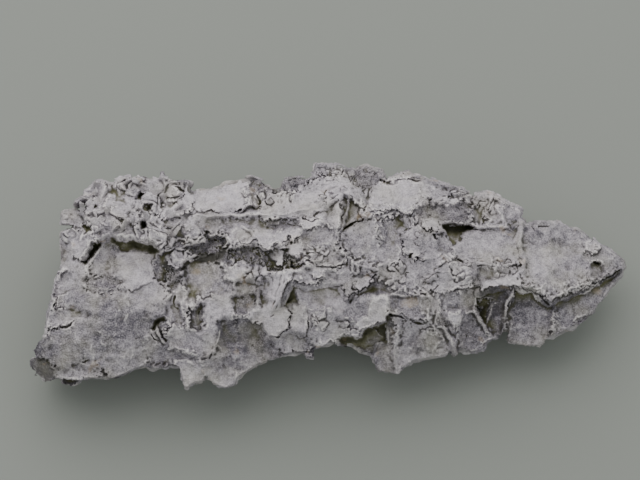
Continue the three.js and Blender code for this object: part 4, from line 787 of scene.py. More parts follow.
sheet([(31, 3.6), (36, 2.8), (43, 2.2), (47.6, 1.8), (50.4, 3), (50.4, -6), (44, -5.8),
    (38, -5.8), (34.4, -4.6), (32.6, -2.4)], -90, -1.6, 1.2, 0.9, 0.05, under=0.4)
pit([(30.6, 3.8), (35.6, 4), (38.8, 3.3), (36.8, 2), (35, 0.8), (33.8, -1.6), (32.6, -1.8),
    (31.2, 0.4)], 6, ramp=0.4)
slit([(37, 3), (40, 2.5), (43.4, 2.3)], 1.1, 1.8)
pit([(40, 2), (40.9, 1.8), (40.6, 1), (40, 1.2)], 1, 0.4)
pit([(42, 2), (43, 1.8), (42.8, 0.8), (42, 1)], 1, 0.4)
crest([(33.6, 3.6), (35.4, 3.2)], 1, 0.8)
crest([(38, 3.5), (41, 3.2), (44.4, 3.6)], 1.2, 0.8)
crest([(30.6, 4.2), (30.8, 2.6), (32.6, -1.4)], 1, 0.8)
pit([(45.4, 6.6), (47.4, 6), (48.8, 4.8), (47.4, 2.8), (46.4, 3.8)], 2, 0.9, ramp=-0.6)
sheet([(45.8, 9.4), (47.2, 8), (48.6, 6.4), (47.8, 4.6), (46.2, 5.2), (45.4, 7)], 90, -0.6, 0.2,
    0.3, -0.2)
flakes(30, (34, -9.5), (50, -5.4), (1, 2.4), (-0.2, 1.2), 0.8, 52, (-0.3, 1))
druse([(38, -7), (43, -7), (44, -10), (37.6, -11.4), (36, -8.6)], 0.7)
sheet([(39.4, -7.4), (41.6, -7.6), (42.4, -9.8), (39.4, -10.4)], -90, -0.6, 0.4, 0.4, -0.3)
slit([(38.4, -6.4), (40, -6.2), (41.6, -6.5)], 1, 1.8)
slit([(34.3, -4.8), (34.9, -5.2)], 1, 1.6)
slit([(43.8, -7), (44, -8.8)], 0.9, 1.6)
slit([(36.8, -8.6), (36.6, -11)], 0.7, 1.2)
slit([(45, -8.8), (47.6, -8.2), (49.6, -7.2)], 0.8, 1.2)

# under the big blade: the cave, the thin fin and the hanging blades
panel([(58, -14.6), (62, -13.4), (66.6, -11.6), (73, -9), (74.4, -8.6), (71.8, -13), (70, -16),
    (68.4, -19.2), (62, -22.2), (58.2, -23.6)], -90, -2, -0.2, 1, -0.4, curl=0.1)
panel([(48.2, -12.6), (53, -13), (57.4, -15.6), (57.2, -22), (56.2, -25), (54.4, -26.6),
    (50, -26.2), (46.4, -25.2), (47, -19)], -90, -2.6, -0.2, 0.7, -0.35, curl=0.1)
crest([(57.5, -15.4), (57.6, -20), (57.2, -24)], 1.5, 1.2)

pit([(38.6, -13.8), (39.6, -12), (44, -11.3), (46.2, -12), (44.2, -14.8), (42.4, -17.6),
    (41, -20.6), (39.8, -18.6), (38.2, -16.4)], 6, ramp=-0.3)
panel([(39.4, -12.4), (44.4, -11.9), (44.2, -14.2), (41.4, -14.6), (39.2, -14.2)], -90, -2.6,
    -2.2, 0.2, -0.9, curl=0)
panel([(44.6, -13.4), (47.2, -11.8), (47.4, -14), (46, -19), (44.9, -23.6), (43, -23.2),
    (41.8, -20.8), (43, -17)], 0, -3, -0.2, 0.2, -0.5)
crest([(47.4, -12.2), (46.4, -18), (45, -23.6)], 1.5, 0.8)
pit([(47.8, -12.6), (48.8, -12.8), (48, -18), (46.8, -24.6), (45.8, -24.8), (47, -18)], 3, 0.9,
    ramp=0.4)
crest([(38, -17.4), (40.2, -20.6), (41.8, -23.8)], 1.6, 0.8)
crest([(36, -17.7), (38, -17.4)], 1.2, 0.8)
panel([(39.2, -12.4), (40.2, -11), (44, -10.4), (48, -9.4), (49.2, -11.6), (47, -10.9),
    (44, -11.2), (41, -11.8)], -90, 1.2, 2.2, 0.1, 0.8, frill=0.8)
sheet([(62.6, -21.6), (66, -20.4), (69, -18.6), (68.4, -20.2), (64.4, -22.2)], -90, -2.6, -3.4,
    1.3, -0.6)

# the big blade, its tip and its crest
panel([(50.2, 4.9), (53.4, 4.5), (57, 5), (60, 4.6), (62, 3.6), (65.6, 2), (68.2, 0),
    (68.2, -3.6), (67, -8), (67, -10.4), (62, -12.6), (58.4, -13.8), (56.4, -14.6), (54.4, -13),
    (53, -11.6), (49.6, -11), (48, -9.6), (50.2, -6)], -90, -0.2, 1.8, 1.1, -0.05, curl=0.2)
panel([(50.8, 3.4), (53, 3.2), (57, 0.6), (62, -1.4), (57, -2), (51, -0.6)], -90, -0.6, -0.6, 0.3,
    -0.55, curl=0, soft=1.2, edge=1.2, frill=0.3)
panel([(51, -2), (57, -3), (62, -3), (60, -6), (57, -8), (51.4, -7)], -90, -0.7, 0.1, 0.3, 0.1,
    curl=0, soft=2, edge=2, frill=0.3)

pit([(51.6, 1), (54, 0.2), (57.6, -1.8), (54, -2.4), (51.8, -1.8)], 0.2, 2.6)
crest([(50.4, 4.8), (50.5, -1), (50, -8)], 1, 1.3)
crest([(53.6, 2.6), (57.4, 0.6), (62, -0.6)], 0.5, 2)
crest([(65.8, -2.4), (63, -7.4), (59.4, -12.6)], 0.8, 1.8)
crest([(66.8, -9.8), (62, -12), (58.2, -13.6), (56.4, -14.6)], 1, 1.2)
slit([(55, 3.4), (58, 3.5), (61, 3.1)], 0.8, 0.8)
slit([(53.2, 3.2), (53.6, 2.6)], 0.9, 1.2)
sheet([(66.4, 1.6), (69.6, 0), (72, -2.4), (75.6, -5), (75.4, -6.8), (74, -7.2), (70.6, -9),
    (69, -10), (66.6, -10.4), (67, -7), (68.4, -3.6), (67.4, -1)], -100, -0.2, 1.2, 0.3, -0.05,
    under=0.3)
sheet([(67.4, -0.4), (69, -0.7), (69.4, -1.6), (68.2, -2.8), (67.2, -2.6)], -60, 1, 1.7, 0.4, 0.4)
pit([(67.6, -5.6), (68.6, -4.6), (69.6, -4.8), (71, -6), (71.2, -7.6), (70.2, -9.2), (68.6, -9.6),
    (67.4, -8.6)], 2.4, 0.6, ramp=0.9)
slit([(67.4, -6.4), (67.8, -5.4), (68.6, -4.8), (70, -5.4)], 1.4, 1.8)
crest([(67, -9.2), (69, -10.1), (70.6, -9), (74, -7.2)], 1.1, 0.8)
slit([(66.4, -10.4), (68, -10.7), (71, -9.6), (75.2, -7.2)], 0.9, 1.6)
slit([(49.2, -11.9), (51.4, -12.4), (53.2, -12.4), (54.6, -14), (56.4, -15.6)], 1.3, 1.6)
druse([(50, -20), (56, -20), (56, -25), (50, -25)], 0.3)

# painted shade on the low ground inside the long slot and its two ends
paint_shade_on_low_ground([(-35, 1.5), (-29, 2.8), (-23, 1), (-13, -0.6), (-6, -1), (0.5, -4), (0, -7), (-6, -8),
    (-14, -7.6), (-23, -6.4), (-31, -5.4), (-33, -9.4), (-38, -10), (-38.4, -5.6), (-35, -4)],
    2.4)
# and painted shade under the big blade
paint_shade_on_low_ground([(38, -13), (44, -11), (50, -12), (57, -15), (66, -11.5), (75, -7.4), (70, -13), (58, -17.5),
    (48.6, -16.5), (42, -20), (39, -19)], 1.2)
# the under side of the slab, seen along its lower rim, darkened with painted shade
panel([(-69, -34.6), (-66, -35.4), (-63, -34.2), (-60, -35), (-56.5, -34.9), (-53.5, -34.5),
    (-50.6, -33.6), (-46.3, -32.8), (-46, -34), (-50, -36), (-54, -38), (-59, -40), (-66, -38)],
    -90, -2.2, -3.4, 0, -0.9, curl=0, soft=0.5, edge=0.5, frill=0.5)
# small waves over everything, and sugar in the drusy patches
relief += 0.25 * wander(3.4, 70) + (0.12 * wander(1.6, 71) + 0.06 * wander(0.8, 72)) * (1.4 - calm)
relief += (
    dished(8.0, 0.22, 100)
    + dished(3.6, 0.3, 110) * (1 - 0.5 * calm)
    + dished(1.6, 0.35, 120) * (1 - 0.7 * calm)
)
relief += drusy * (0.5 * wander(1.3, 73) + 0.35 * wander(0.7, 74))
shown = np.clip(softened(inside, 0.4, FINE) * 3 - 1.8, 0, 1)
relief = base + (relief - base) * shown

# The walls are made as two slabs that are bedded in the lump and overlap a little.
BEDDING = 2.0
LEAST_WALL = 0.7
SPLIT = -4
OVERLAP = 0.3
FAR_OUT = 90
MOST_TRIANGLES = 195000
CREASE = math.radians(60)
bottom = dome + softened(relief - dome, 2.5, FINE) - BEDDING
bottom = np.minimum(bottom, relief - LEAST_WALL)
# the contour is frilled, and low ground near it is left out here and there
verge = softened(inside, 0.5, FINE)
verge += (2.0 * lobes + 1.0 * wander(2.5, 56)) * verge * (1 - verge) - 0.5
held = verge > 0
held &= (verge > 0.48) | (ground > dome - 3.5) | (wander(5.0, 58) > 0)
held = held[:-1, :-1] & held[1:, :-1] & held[:-1, 1:] & held[1:, 1:]
for _ in range(6):
    # two cells may not touch at one corner only
    one = held[:-1, :-1] & held[1:, 1:] & ~held[1:, :-1] & ~held[:-1, 1:]
    two = ~held[:-1, :-1] & ~held[1:, 1:] & held[1:, :-1] & held[:-1, 1:]
    held[1:, :-1] |= one
    held[:-1, :-1] |= two
# what stands lower than the mean relief is a hollow, with olive dust and painted shade, and
# what stands out from the near relief is a rim, with a painted highlight in some patches and
# painted shadow at its foot
mean_relief = softened(relief, 1.8, FINE)
near_relief = softened(relief, 0.32, FINE)
rim_highlight_field = np.clip(0.6 + 1.2 * wander(4.0, 90), 0.25, 1)
foot_shade_field = np.clip(0.85 + 1.0 * wander(4.0, 91), 0.5, 1)
inland = np.clip((softened(inside, 1.0, FINE) - 0.6) / 0.35, 0, 1)


def read_points(mesh):
    flat = np.empty(len(mesh.vertices) * 3, dtype=np.float32)
    mesh.vertices.foreach_get("co", flat)
    return flat.reshape(-1, 3).astype(float)


def new_object(name, data):
    made = bpy.data.objects.new(name, data)
    bpy.context.scene.collection.objects.link(made)
    return made


def select_only(piece):
    bpy.ops.object.select_all(action="DESELECT")
    piece.select_set(True)
    bpy.context.view_layer.objects.active = piece


def fill_mesh(piece, stations, faces):
    """Gives the piece a new mesh, thinned to about the most triangles that a piece may have."""
    mesh = bpy.data.meshes.new(piece.name)
    mesh.from_pydata(from_face(stations).tolist(), [], faces.tolist())
    piece.data = mesh
    select_only(piece)
    thinning = piece.modifiers.new("thinning", "DECIMATE")
    thinning.ratio = min(1.0, MOST_TRIANGLES / (2 * len(mesh.vertices)))
    bpy.ops.object.modifier_apply(modifier=thinning.name)
    bpy.ops.object.shade_smooth_by_angle(angle=CREASE)


def add_values(piece, name, values):
    attribute = piece.data.attributes.new(name, "FLOAT", "POINT")
    attribute.data.foreach_set("value", values.astype(np.float32))


SKIN_DEPTH = 0.5
HOLLOW_START = 0.25
HOLLOW_DEPTH = 2.2
RIM_STEP = 0.17


def slab_of(name, start, end):
    """The walls between two places along the lump, as a closed slab from relief to bottom."""
    piece = new_object(name, bpy.data.meshes.new(name))
    cell = held & (grid_s[:-1, :-1] >= start) & (grid_s[:-1, :-1] < end)
    span = grid_s.shape[1]
    i, j = np.nonzero(cell)
    corner = i * span + j
    tops = np.stack([corner, corner + span, corner + span + 1, corner + 1], axis=1)
    framed = np.pad(cell, 1)
    sides = []
    for axis, way in ((0, 1), (0, -1), (1, 1), (1, -1)):
        beyond = np.roll(framed, -way, axis)[1:-1, 1:-1]
        i, j = np.nonzero(cell & ~beyond)
        if axis == 0:
            one = (i + (way > 0)) * span + j
            two = one + 1
        else:
            two = i * span + j + (way > 0)
            one = two + span
        if way < 0:
            one, two = two, one
        sides.append(np.stack([one, one + grid_s.size, two + grid_s.size, two], axis=1))
    faces = np.concatenate([tops, tops[:, ::-1] + grid_s.size] + sides)
    used, faces = np.unique(faces, return_inverse=True)
    stations = np.concatenate([
        np.stack([grid_s.ravel(), grid_t.ravel(), height.ravel()], axis=1)
        for height in (relief, bottom)
    ])[used]
    fill_mesh(piece, stations, faces.reshape(-1, 4))

    # what the finish follows: depth, nearness to a rim, tone with painted shade, and sugar
    places = to_face(read_points(piece.data))
    fields = (mean_relief, near_relief, relief, inland, rim_highlight_field, foot_shade_field, shade, drusy)
    wide, near, top, safe, highlight_strength, foot_shade_strength, tone_and_shade, sugary = (
        sampled(field, places[:, :2], FINE) for field in fields
    )
    height = places[:, 2]
    on_top = (height > top - SKIN_DEPTH) * safe
    # points below the mean relief take olive dust and painted shade
    hollow_dust_and_shade = np.clip((wide - height - HOLLOW_START) / HOLLOW_DEPTH, 0, 1)
    add_values(piece, "hollow_dust_and_shade", hollow_dust_and_shade * on_top)
    # points above the near relief take a painted highlight, points at the foot of a step a painted
    # shadow
    rim = np.clip((height - near) / RIM_STEP, -1, 1) * on_top
    add_values(piece, "rim", rim * np.where(rim > 0, highlight_strength, foot_shade_strength))
    # the sides and underside of the slab, below its top skin, take painted shade
    add_values(piece, "shade", tone_and_shade - 0.5 * (height < top - SKIN_DEPTH))
    add_values(piece, "drusy", sugary)
    return piece


walls = [
    slab_of("quartz_walls_west", -FAR_OUT, SPLIT),
    slab_of("quartz_walls_east", SPLIT - OVERLAP, FAR_OUT),
]


def linear(hex_colour):
    """An sRGB hex colour as the linear values that a shader takes."""
    parts = [int(hex_colour[i : i + 2], 16) / 255 for i in (1, 3, 5)]
    return [c / 12.92 if c <= 0.04045 else ((c + 0.055) / 1.055) ** 2.4 for c in parts] + [1.0]


def add_node(tree, kind, inputs, **settings):
    """Adds a shader node with its settings. Each input is a value or another node's output."""
    made = tree.nodes.new(kind)
    for name, value in settings.items():
        setattr(made, name, value)
    for name, value in inputs.items():
        if isinstance(value, bpy.types.NodeSocket):
            tree.links.new(value, made.inputs[name])
        else:
            made.inputs[name].default_value = value
    return made


def matt_quartz():
    """Matt quartz crust, deposited from water as grains too fine to see: pale lilac grey, with a
    painted highlight on broken rims, painted shadow at the foot of steps, and olive dust with
    painted shade in the hollows."""
    material = bpy.data.materials.new("quartz_crust_matt")
    material.use_nodes = True
    tree = material.node_tree
    tree.nodes.clear()
    place = add_node(tree, "ShaderNodeTexCoord", {}).outputs["Object"]
    pattern = {}
    for name in ("shade", "rim", "hollow_dust_and_shade"):
        made = add_node(tree, "ShaderNodeAttribute", {}, attribute_name=name)
        pattern[name] = made.outputs["Fac"]
    # Each noise has its size in millimetres and its finer detail. Single grains are about a
    # tenth of a millimetre across, so the speckle is drawn coarser, for it to show.
    for name, size, detail in (
        ("cloud", 8.0, 4.0), ("patch", 1.6, 4.0), ("speckle", 0.35, 2.0), ("skin", 7.0, 5.0),
        ("stain", 5.0, 3.0), ("grain", 0.4, 3.0), ("wave", 1.2, 2.0),
    ):
        settings = {"Vector": place, "Scale": 1 / (size * MM), "Detail": detail}
        pattern[name] = add_node(tree, "ShaderNodeTexNoise", settings).outputs["Fac"]

    # clouds of paler and darker crust, a fine speckle of single grains, and the shade value: each
    # sheet's tone with painted shade and light laid in
    tone = 0.0
    for name, low, high, depth in (
        ("cloud", 0.3, 0.7, 0.3), ("patch", 0.3, 0.7, 0.55), ("speckle", 0.3, 0.7, 0.6),
        ("shade", -1, 1, 0.8),
    ):
        share = add_node(tree, "ShaderNodeMapRange", {
            "Value": pattern[name], "From Min": low, "From Max": high,
            "To Min": -depth, "To Max": depth,
        })
        total = add_node(tree, "ShaderNodeMath", {0: tone, 1: share.outputs[0]}, operation="ADD")
        tone = total.outputs[0]
    pattern["tone"] = tone

    # Each layer is a pattern, the values between which it comes in, its strength and its colour.
    colour = linear("#4f4b55")
    for name, start, end, strength, hue in (
        ("tone", -1.1, 1.1, 1.0, "#c6c0c8"),  # lilac grey, dark to pale
        ("skin", 0.45, 0.7, 0.3, "#aaa68f"),  # a thin cream skin in patches
        ("shade", -0.9, -1.7, 0.9, "#26251d"),  # near-black painted shade where the shade value is lowest
        ("rim", 0.2, 0.9, 0.75, "#e4dfdf"),  # painted highlight along raised rims
        ("rim", -0.2, -0.9, 0.85, "#2e2a25"),  # painted shadow at the foot of a step
        ("hollow_dust_and_shade", 0.12, 0.6, 0.75, "#605f3a"),  # olive dust and painted shade in the hollows
        ("hollow_dust_and_shade", 0.6, 1.0, 0.75, "#2c2c18"),  # painted shade, near black, at their bottoms
        ("stain", 0.66, 0.74, 0.35, "#b09c82"),  # a few cream and rusty stains
    ):
        share = add_node(tree, "ShaderNodeMapRange", {
            "Value": pattern[name], "From Min": start, "From Max": end, "To Max": strength,
        })
        mix = {"Factor": share.outputs[0], 6: colour, 7: linear(hue)}
        colour = add_node(tree, "ShaderNodeMix", mix, data_type="RGBA").outputs[2]

    wave = add_node(tree, "ShaderNodeMapRange", {"Value": pattern["wave"], "To Max": 2.0})
    grain = {0: pattern["grain"], 1: wave.outputs[0]}
    height = add_node(tree, "ShaderNodeMath", grain, operation="ADD").outputs[0]
    bump = add_node(tree, "ShaderNodeBump", {
        "Height": height, "Strength": 1.0, "Distance": 0.3 * MM,
    })
    surface = add_node(tree, "ShaderNodeBsdfPrincipled", {
        "Base Color": colour, "Normal": bump.outputs["Normal"], "Roughness": 0.8, "IOR": 1.54,
    })
    add_node(tree, "ShaderNodeOutputMaterial", {"Surface": surface.outputs["BSDF"]})
    return material


quartz = matt_quartz()


def finish_piece(piece):
    piece.data.materials.append(quartz)
    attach(piece, "root")


for piece in walls:
    finish_piece(piece)

# The crust. The back, ends and underside of the lump, where it broke from the rock: the same
# quartz in blocky, scalloped dishes, with a flat break underneath that it lies on. It ends just
# under the walls, which grow out of it.
COARSE = 0.4
UNDER_WALLS = 0.8
CUT_BLEND = 1.6
SHADED_BELOW = 7
SHADE_BLEND = 3
coarse_s, coarse_t = grid_of(COARSE)
deep = int((HIGH[2] - LOW[2]) / COARSE)


def fill_of_lump():
    """How full each cell of the block is, found by walking down through the lump."""
    full = np.zeros(coarse_s.shape + (deep,), dtype=np.float32)
    nudge = DOWN * 0.002 * MM
    for column, start in zip(full.reshape(-1, deep), starts_over(coarse_s, coarse_t)):
        start = Vector(start)
        origin = start
        entry = None
        while True:
            hit, normal, _, _ = lump_tree.ray_cast(origin, DOWN)
            if hit is None:
                break
            level = deep - (hit - start).length / MM / COARSE
            if normal.dot(DOWN) < 0:
                entry = level if entry is None else entry
            elif entry is not None:
                column[int(level) + 1 : int(entry)] = 1
                column[int(level)] += 1 - level % 1
                column[int(entry)] += entry % 1 - (int(level) == int(entry))
                entry = None
            origin = hit + nudge
    return np.clip(full, 0, 1)


def skin(field):
    """The corners and quads of a closed mesh round the cells where the field is above zero."""
    for _ in range(8):
        # two cells may not touch along an edge only
        for a, b in ((0, 1), (0, 2), (1, 2)):
            filled = field > 0
            beside, above = np.roll(filled, -1, a), np.roll(filled, -1, b)
            crossed = filled == np.roll(beside, -1, b)
            crossed &= (beside == above) & (filled != beside)
            for shift in itertools.product((0, 1), repeat=2):
                field[np.roll(crossed, shift, (a, b)) & (field <= 0)] = 0.05
    filled = field > 0
    count = np.zeros([n - 1 for n in field.shape], dtype=np.uint8)
    for a, b, c in itertools.product((0, 1), repeat=3):
        count += filled[a : a + count.shape[0], b : b + count.shape[1], c : c + count.shape[2]]
    cells = np.argwhere((count > 0) & (count < 8))
    index = np.full(count.shape, -1, dtype=np.int32)
    index[tuple(cells.T)] = np.arange(len(cells))
    middle = np.zeros((len(cells), 3))
    crossings = np.zeros(len(cells))
    for axis in range(3):
        for a, b in itertools.product((0, 1), repeat=2):
            start = np.insert([a, b], axis, 0)
            end = np.insert([a, b], axis, 1)
            one = field[tuple((cells + start).T)].astype(float)
            two = field[tuple((cells + end).T)].astype(float)
            crossed = (one > 0) != (two > 0)
            share = np.where(crossed, one / np.where(crossed, one - two, 1), 0)
            middle += crossed[:, None] * (start + share[:, None] * (end - start))
            crossings += crossed
    corners = LOW + COARSE * (cells + middle / crossings[:, None])
    quads = []
    for axis in range(3):
        one = np.take(filled, range(filled.shape[axis] - 1), axis=axis)
        two = np.take(filled, range(1, filled.shape[axis]), axis=axis)
        j, k = [i for i in range(3) if i != axis]
        for leaving in (True, False):
            edges = np.argwhere((one & ~two) if leaving else (~one & two))
            loop = []
            for a, b in ((-1, -1), (0, -1), (0, 0), (-1, 0)):
                cell = edges.copy()
                cell[:, j] += a
                cell[:, k] += b
                loop.append(index[tuple(cell.T)])
            turned = leaving != (axis == 1)
            quads.append(np.stack(loop if turned else loop[::-1], axis=1))
    return corners, np.concatenate(quads)


def read_normals(mesh):
    flat = np.empty(len(mesh.vertices) * 3, dtype=np.float32)
    mesh.vertices.foreach_get("normal", flat)
    return flat.reshape(-1, 3).astype(float)


# the lump is cut down to lie just under the lowest relief near each place
full = fill_of_lump()
cut = np.minimum(relief, np.minimum(np.roll(relief, 2, 0), np.roll(relief, -2, 0)))
cut = np.minimum(cut, np.minimum(np.roll(cut, 2, 1), np.roll(cut, -2, 1)))
coarse_sites = np.stack([coarse_s.ravel(), coarse_t.ravel()], axis=1)
cut = sampled(np.where(known, cut, 99), coarse_sites, FINE).reshape(coarse_s.shape)
levels = LOW[2] + COARSE * (np.arange(deep) + 0.5)
room = ((cut[..., None] - UNDER_WALLS - levels) / CUT_BLEND).astype(np.float32)
solid = np.clip(np.minimum(softened(full, 0.35, COARSE) - 0.5, room), -0.5, 0.5)
stations, faces = skin(solid)
stations[:, 2] += COARSE / 2
fill_mesh(crust, stations, faces)

# the axis of the lump, from end to end, as x, y and z
AXIS = np.array([
    [-75, -14, 9], [-60, -7, 14], [-40, -2, 15], [-20, 0, 15], [0, 4, 16],
    [20, 3, 15], [40, 2, 14], [60, 3, 13], [75, 4, 13],
])

# scallops push the quartz sideways, and dishes of two sizes push it in and out
points = read_points(crust.data)
normals = read_normals(crust.data)
mm = points / MM
away = points / MM
away[:, 0] = 0
away[:, 1] -= np.interp(mm[:, 0], AXIS[:, 0], AXIS[:, 1])
away[:, 2] -= np.interp(mm[:, 0], AXIS[:, 0], AXIS[:, 2])
away[:, 1] *= 0.5
away /= np.linalg.norm(away, axis=1, keepdims=True)
sideways = normals - away * np.sum(normals * away, axis=1, keepdims=True)
scallops = 0.5 - near_seeds(mm, 1.5, 3)
flow = bumps(mm, 4.0, 8) * 0.5 + bumps(mm, 2.0, 9) * 0.3
points += sideways * ((scallops * 0.9 + flow * 0.8) * MM)[:, None]
mm += 0.8 * np.stack([bumps(mm, 3.0, seed) for seed in (24, 25, 26)], axis=1)
soft = bumps(mm, 6.0, 21) * 0.3 + bumps(mm, 1.1, 23) * 0.06 - 0.35
dishes = (near_seeds(mm, 7.0, 5) - 0.45) * 2.0 + (near_seeds(mm, 2.8, 6) - 0.45) * 0.9
points += normals * ((soft + dishes) * MM)[:, None]
points[:, 2] = np.maximum(points[:, 2], 0)
crust.data.vertices.foreach_set("co", points.astype(np.float32).ravel())
crust.data.update()

body = np.clip(solid + 0.5, 0, 1)
places = to_face(read_points(crust.data))
wide, near = (sampled(softened(body, spread, COARSE), places, COARSE) for spread in (2.2, 0.7))
beneath = sampled(dome, places[:, :2], FINE) - places[:, 2]
# the crust just under the walls is darkened with painted shade, as under an overhang
under_walls_shade = np.clip((SHADED_BELOW + 3 * bumps(mm, 5.0, 28) - beneath) / SHADE_BLEND, 0, 1)
# hollows of the crust take olive dust and painted shade, and its edges a painted highlight
add_values(crust, "hollow_dust_and_shade", 0.5 * np.clip((wide - 0.5) / 0.35, 0, 1))
add_values(crust, "rim", np.clip((0.5 - near) / 0.3, 0, 0.45))
add_values(crust, "shade", 0.15 * bumps(mm, 9.0, 27) - 0.9 * under_walls_shade)
finish_piece(crust)
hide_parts("quartz_pseudomorph")

# The blades. Small thin leaves of quartz that stand in a crowd at one end, each grown its own
# way from a foot on the walls, with a scalloped rim.
LEAVES = 24
LEAF_LENGTHS = (2.2, 5.0)
LEAF_WIDTHS = (1.6, 4.2)
CROWD_START, CROWD_END, CROWD_FOOT = -64, -35, 1.5
AROUND = 20
RINGS = (0.0, 0.45, 0.8, 1.0)


def stand_leaves(name, feet, ups, lengths, widths, seed):
    """Thin curved leaves, closed all round."""
    random = np.random.default_rng(seed)
    spots, faces = [], []
    turns = np.arange(AROUND) * math.tau / AROUND
    for foot, up, length, width in zip(feet, ups, lengths, widths):
        side = np.cross(up, random.normal(size=3))
        side /= np.linalg.norm(side)
        out = np.cross(up, side)
        wobble = 1 + 0.16 * np.cos(2 * turns + random.uniform(0, 6))
        wobble = wobble + 0.2 * np.cos(3 * turns + random.uniform(0, 6))
        fifth = 0.1 * np.cos(5 * turns + random.uniform(0, 6))
        wobble += fifth + random.uniform(-0.1, 0.1, AROUND)
        bend = random.uniform(-0.12, 0.12)
        cup = random.uniform(-0.1, 0.1)
        thick = random.uniform(0.2, 0.32) * MM
        first = len(spots)
        for face in (1, -1):
            for ring in RINGS:
                count = 1 if ring == 0 else AROUND
                x = ring * wobble[:count] * np.cos(turns[:count]) * width / 2
                y = ring * wobble[:count] * np.sin(turns[:count]) * length / 2 + length * 0.25
                z = bend * y * y / length + cup * x * x / width * 4
                edge = thick * (0.55 if ring == 1.0 else 1.0) * face
                for a, b, c in zip(x, y, z):
                    spots.append(foot + side * a + up * b + out * (c + edge))
        half = 1 + 3 * AROUND
        pairs = [(i, (i + 1) % AROUND) for i in range(AROUND)]
        for face in (0, 1):
            top = first + face * half
            for i, j in pairs:
                ring = [(top, top + 1 + i, top + 1 + j)]
                for k in (0, 1):
                    a = top + 1 + k * AROUND
                    b = a + AROUND
                    ring += [(a + i, b + i, b + j), (a + i, b + j, a + j)]
                faces += ring if face else [corner[::-1] for corner in ring]
        rim = first + 1 + 2 * AROUND
        low = rim + half
        for i, j in pairs:
            faces += [(rim + i, low + j, low + i), (rim + i, rim + j, low + j)]
    mesh = bpy.data.meshes.new(name)
    mesh.from_pydata([tuple(s) for s in spots], [], faces)
    piece = new_object(name, mesh)
    select_only(piece)
    bpy.ops.object.shade_smooth()
    return piece


points = read_points(walls[0].data)
normals = read_normals(walls[0].data)
places = to_face(points)
random = np.random.default_rng(12)
crowd = (places[:, 0] > CROWD_START) & (places[:, 0] < CROWD_END)
crowd &= (places[:, 1] > CROWD_FOOT) & (normals @ OUT > 0.2)
picked = random.choice(np.flatnonzero(crowd), LEAVES, replace=False)
ups = normals[picked] + OUT * 0.3 + random.normal(size=(LEAVES, 3)) * 0.6
ups /= np.linalg.norm(ups, axis=1, keepdims=True)
lengths = random.uniform(*LEAF_LENGTHS, LEAVES) * MM
widths = random.uniform(*LEAF_WIDTHS, LEAVES) * MM
blades = stand_leaves("quartz_blades", points[picked], ups, lengths, widths, 3)
# a fixed rim value gives the blades an even share of the painted rim highlight colour
for kind, value in (("hollow_dust_and_shade", 0.0), ("rim", 0.35), ("shade", 0.0)):
    add_values(blades, kind, np.full(len(blades.data.vertices), value))
finish_piece(blades)

# Sugar. Tiny quartz crystals that grew last, on the floors of the hollows and along broken
# rims. Each is a stubby point, 0.2 to 0.6 mm long. Real ones have six sides, and here four show
# the same.
GRAINS = 9000
GRAIN_LENGTH = 0.36
GRAIN_FACES = [((i, (i + 1) % 4, 5), ((i + 1) % 4, i, 4)) for i in range(4)]


def sprinkle(piece, name, chance, seed):
    """Small pointed crystals standing on the piece, more of them where chance is high."""
    mesh = piece.data
    mesh.calc_loop_triangles()
    corners = np.empty(len(mesh.loop_triangles) * 3, dtype=np.int32)
    mesh.loop_triangles.foreach_get("vertices", corners)
    corners = corners.reshape(-1, 3)
    points = read_points(mesh)[corners]
    across = np.cross(points[:, 1] - points[:, 0], points[:, 2] - points[:, 0])
    area = np.linalg.norm(across, axis=1)
    weight = area * chance[corners].mean(axis=1)
    random = np.random.default_rng(seed)
    picked = random.choice(len(corners), GRAINS, p=weight / weight.sum())
    mix = random.dirichlet((1, 1, 1), GRAINS)
    foot = np.einsum("ij,ijk->ik", mix, points[picked])
    up = across[picked] / area[picked][:, None] + random.normal(size=(GRAINS, 3)) * 0.55
    up /= np.linalg.norm(up, axis=1, keepdims=True)
    side = np.cross(up, random.normal(size=(GRAINS, 3)))
    side /= np.linalg.norm(side, axis=1, keepdims=True)
    other = np.cross(up, side)
    length = GRAIN_LENGTH * MM * random.uniform(0.5, 1.2, GRAINS)[:, None]
    turns = (np.arange(4) * math.tau / 4)[None, :, None]
    ring = side[:, None] * np.cos(turns) + other[:, None] * np.sin(turns)
    belt = (foot + up * length * 0.35)[:, None] + ring * length[:, None] * 0.42
    tips = np.stack([foot - up * length * 0.4, foot + up * length * 0.9], axis=1)
    spots = np.concatenate([belt, tips], axis=1).reshape(-1, 3)
    pattern = np.array(GRAIN_FACES).reshape(-1, 3)
    faces = (np.arange(GRAINS)[:, None, None] * 6 + pattern[None]).reshape(-1, 3)
    mesh = bpy.data.meshes.new(name)
    mesh.from_pydata(spots.tolist(), [], faces.tolist())
    return new_object(name, mesh)


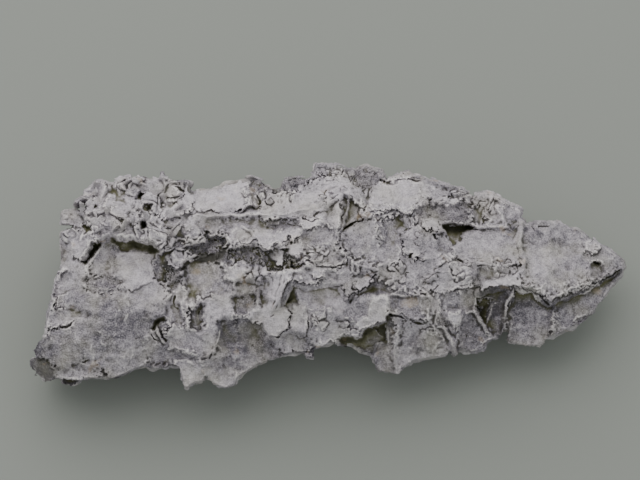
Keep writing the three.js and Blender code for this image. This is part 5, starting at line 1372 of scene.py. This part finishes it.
for wall, name in zip(walls, ("quartz_sugar_west", "quartz_sugar_east")):
    values = {}
    for kind in ("rim", "drusy"):
        values[kind] = np.empty(len(wall.data.vertices), dtype=np.float32)
        wall.data.attributes[kind].data.foreach_get("value", values[kind])
    facing = np.clip(read_normals(wall.data) @ OUT + 0.4, 0, 1)
    chance = (values["drusy"] ** 2 + 0.2 * np.clip(values["rim"] - 0.4, 0, 1)) * facing
    sugar = sprinkle(wall, name, chance, 7)
    for kind in ("hollow_dust_and_shade", "rim", "shade"):
        add_values(sugar, kind, np.zeros(len(sugar.data.vertices)))
    finish_piece(sugar)

# The floor. A plain sheet of matt, pale grey-green card that the lump lies on. It is not part of
# the object.
bpy.ops.mesh.primitive_plane_add(size=6.0, location=(0, 0, 0))
floor = bpy.context.object
floor.name = "floor"
card = bpy.data.materials.new("card")
card.use_nodes = True
paper = card.node_tree.nodes["Principled BSDF"]
paper.inputs["Base Color"].default_value = linear("#858985")
paper.inputs["Roughness"].default_value = 0.9
floor.data.materials.append(card)

# The light. One wide soft lamp above and a little behind the lump, in a pale room that fills
# most of the shadow.
world = bpy.data.worlds.new("studio")
bpy.context.scene.world = world
world.use_nodes = True
room_light = world.node_tree.nodes["Background"]
room_light.inputs["Color"].default_value = linear("#e5e8e4")
room_light.inputs["Strength"].default_value = 1.04

lamp = bpy.data.lights.new("key_light", "AREA")
lamp.shape = "DISK"
lamp.size = 1.1
lamp.energy = 3.7
lamp.color = linear("#fff9f6")[:3]
key_light = new_object("key_light", lamp)
key_light.location = (-0.14, 0.30, 0.48)
key_light.rotation_euler = (-key_light.location).to_track_quat("-Z", "Y").to_euler()

# The camera. It looks square on to the show face, from far enough for the lump to show with
# little perspective.
DISTANCE = 0.89
camera = bpy.data.cameras.new("camera")
camera.lens = 200
camera.sensor_width = 36
camera.clip_start = 0.01
camera.clip_end = 10
eye = new_object("camera", camera)
eye.location = Vector(FACE_ORIGIN * MM) + Vector(OUT) * DISTANCE
eye.rotation_euler = DOWN.to_track_quat("-Z", "Y").to_euler()
bpy.context.scene.camera = eye
